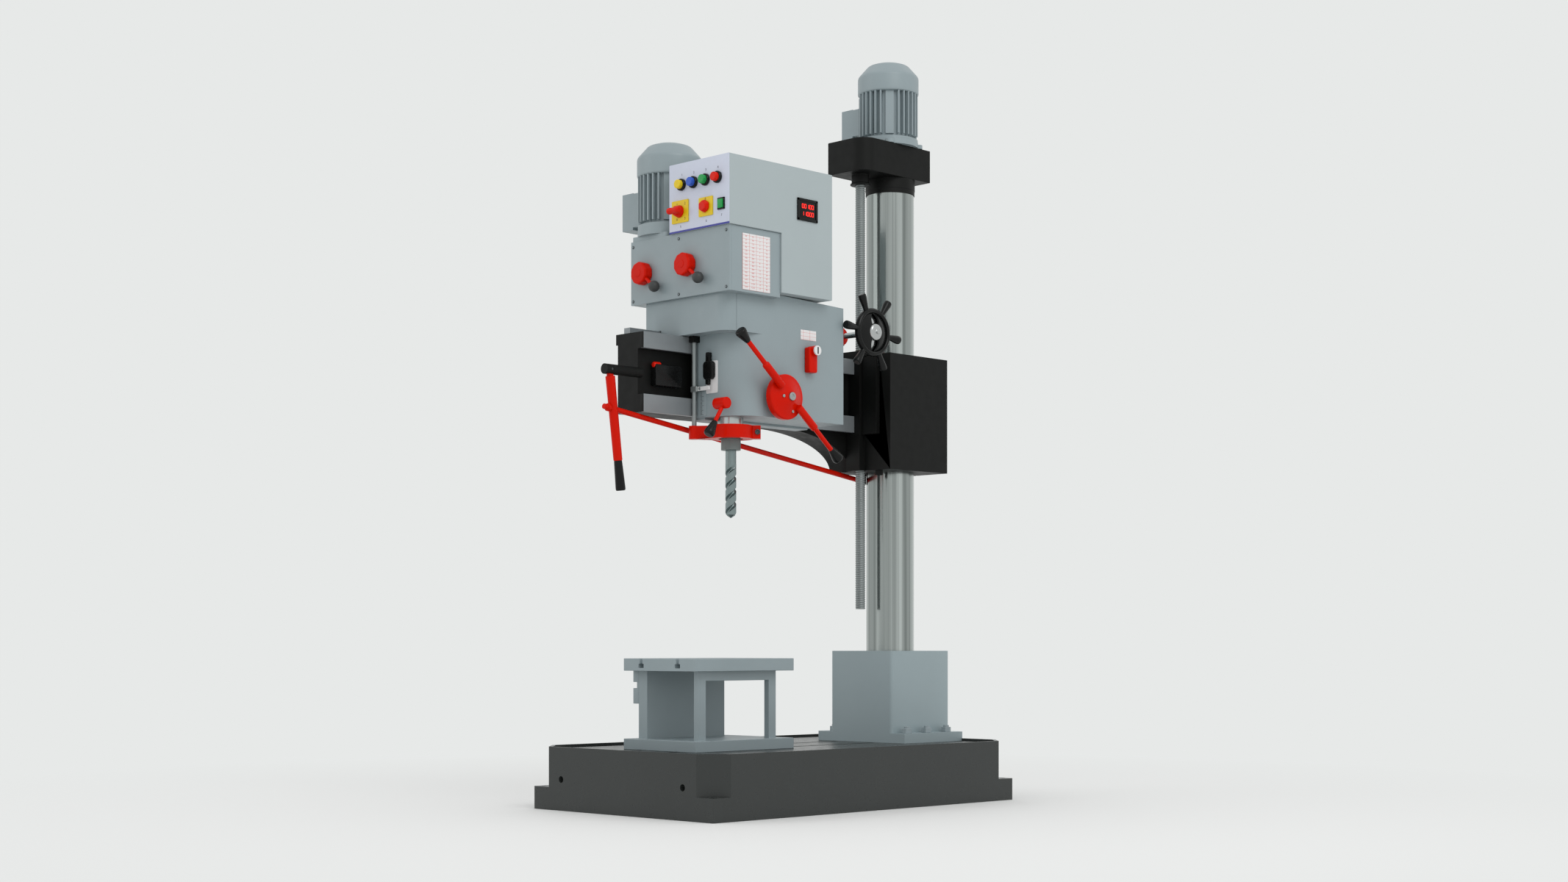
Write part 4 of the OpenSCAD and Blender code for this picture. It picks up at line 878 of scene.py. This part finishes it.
# plates over the ways' front ends
wayEnds = {"x": (-14.5, -0.2), "y": (-560, -558.9), "z": ((1165.3, 1216.7), (1350.3, 1397.7))}
ends = [slab(*zip(wayEnds["x"], wayEnds["y"], z), alongY, corner=0.5, edge=0.3) for z in wayEnds["z"]]
piece("wayEnds", ends, "black_paint", "arm_casting", stands=False)

# clamping screw in the ring's lug, which stands 45 degrees round from X: out along the lug, then aside
ringScrew = {"ring": (94, -300, 1115.5), "out": 79, "aside": 13, "diagonal": 0.7071,
             "head": [(0, 8), (7, 8), (7, 4.5), (3, 4.2)]}


def ringScrewShape(s):
    outward = s["diagonal"] * np.array([1, 1, 0])
    aside = s["diagonal"] * np.array([1, -1, 0])
    place = np.array(s["ring"]) + s["out"] * outward + s["aside"] * aside
    return spun(s["head"], place, aside, soft=1, steps=4, segments=32)


piece("ringScrew", [ringScrewShape(ringScrew)], "fasteners", "clamp_ring", "dark_screws", stands=False)

# front end of the rail on the table's left side: two flanges and the web between them
railStart = [((-154, -464, 315), (-129.8, -403, 361)), ((-154, -464, 379), (-129.8, -403, 413.2)),
             ((-140, -462, 350), (-129.8, -403, 390))]
starts = [slab(*ends, alongY, corner=1.2, edge=0.6) for ends in railStart]
piece("tableRailStart", starts, "grey_paint", "work_table", stands=False)

# arm switch: box and its red knob
armSwitch = {"box": ((-25.5, -509, 1245), (-2, -406, 1308)), "knob": [(0, 9.5), (22, 9), (26, 6)],
             "knobPlace": (-13, -486, 1306)}
box = slab(*armSwitch["box"], alongX, corner=4, edge=2)
knob = spun(armSwitch["knob"], armSwitch["knobPlace"], toFront, soft=2.5, segments=32)
piece("armSwitch", [box], "black_plastic", "arm_switch")
piece("armSwitchKnob", [knob], "red_plastic", "arm_switch", stands=False)

# thin black mark on the head's side: painted shade along the edge where the neck's rounded corner turns away
neckLine = ((187.9, -367.5, 1400), (188.12, -366.9, 1506))
piece("neckLine", [mark(*neckLine, alongX, corner=0.1, edge=0.05)], "black_plastic", "head_casting",
      stands=False)

# screws of the gearbox cover, each with a hollow in its head
coverScrews = {"x": (-201, 1, 203), "face": -422.6, "z": (1519, 1682),
               "head": [(0, 4.6), (2, 4), (2, 1.8), (0.8, 1.6)]}
heads = [spun(coverScrews["head"], (x, coverScrews["face"], z), toFront, soft=0.5, steps=3, segments=24)
         for x in coverScrews["x"] for z in coverScrews["z"]]
piece("coverScrews", heads, "fasteners", "gearbox_cover", "dark_screws", stands=False)
print("levers, gauge and switches made")

# floor, backdrop and lights
studio = {"tone": (231, 233, 232), "paper": (237, 238, 237), "world": 0.82, "near": 0.9, "far": 3.2,
          "half": 30.0, "aim": (0, -0.1, 1.2), "lampSize": 2.4}
lamps = {"key": {"place": (3.5, -1.0, 4.5), "power": 55.0},
         "fill": {"place": (-3.0, -4.0, 3.0), "power": 16.0}}


# rays of the camera, of mirrors and of glass: these see the plain background
def seenRays(tree):
    path = tree.nodes.new("ShaderNodeLightPath")
    first, second = (tree.nodes.new("ShaderNodeMath") for _ in range(2))
    first.operation = second.operation = "MAXIMUM"
    tree.links.new(path.outputs["Is Camera Ray"], first.inputs[0])
    tree.links.new(path.outputs["Is Glossy Ray"], first.inputs[1])
    tree.links.new(first.outputs[0], second.inputs[0])
    tree.links.new(path.outputs["Is Transmission Ray"], second.inputs[1])
    return second.outputs[0]


# lit paper round the machine that takes its shadow, and the background's plain tone far from it
def floorPaper(s):
    shader = Shader("floorPaper", Roughness=0.9, Base_Color=colour(*s["paper"]))
    tree = shader.tree
    distance = shader.add("ShaderNodeVectorMath", {"operation": "LENGTH"}, {0: shader.place}, out="Value")
    share = distance.spread(low=s["near"], high=s["far"]) * Wire(shader, seenRays(tree))
    plain = shader.add("ShaderNodeEmission", {}, {"Color": colour(*s["tone"]), "Strength": 1.0})
    paper = Wire(shader, shader.surface.outputs[0])
    mixed = shader.add("ShaderNodeMixShader", {}, {0: share, 1: paper, 2: plain})
    tree.links.new(mixed.socket, tree.nodes["Material Output"].inputs["Surface"])
    return shader.material


def makeFloor(s):
    half = s["half"]
    mesh = bpy.data.meshes.new("floor")
    corners = [(-half, -half, 0), (half, -half, 0), (half, half, 0), (-half, half, 0)]
    mesh.from_pydata(corners, [], [(0, 1, 2, 3)])
    floor = bpy.data.objects.new("floor", mesh)
    bpy.context.scene.collection.objects.link(floor)
    mesh.materials.append(floorPaper(s))


# white light from all round, and the plain tone for the rays that see the background
def makeWorld(s):
    world = bpy.data.worlds.new("studio")
    bpy.context.scene.world = world
    world.use_nodes = True
    tree = world.node_tree
    light = tree.nodes["Background"]
    light.inputs["Color"].default_value = (1.0, 1.0, 1.0, 1.0)
    light.inputs["Strength"].default_value = s["world"]
    seen = tree.nodes.new("ShaderNodeBackground")
    seen.inputs["Color"].default_value = colour(*s["tone"])
    seen.inputs["Strength"].default_value = 1.0
    mixed = tree.nodes.new("ShaderNodeMixShader")
    tree.links.new(seenRays(tree), mixed.inputs[0])
    tree.links.new(light.outputs[0], mixed.inputs[1])
    tree.links.new(seen.outputs[0], mixed.inputs[2])
    tree.links.new(mixed.outputs[0], tree.nodes["World Output"].inputs["Surface"])


def areaLight(name, lampSettings, s):
    lamp = bpy.data.lights.new(name, "AREA")
    lamp.energy, lamp.size = lampSettings["power"], s["lampSize"]
    thing = bpy.data.objects.new(name, lamp)
    thing.location = lampSettings["place"]
    way = Vector(s["aim"]) - Vector(lampSettings["place"])
    thing.rotation_euler = way.to_track_quat("-Z", "Y").to_euler()
    bpy.context.scene.collection.objects.link(thing)


makeFloor(studio)
makeWorld(studio)
for name, lampSettings in lamps.items():
    areaLight(name, lampSettings, studio)
print("studio made")
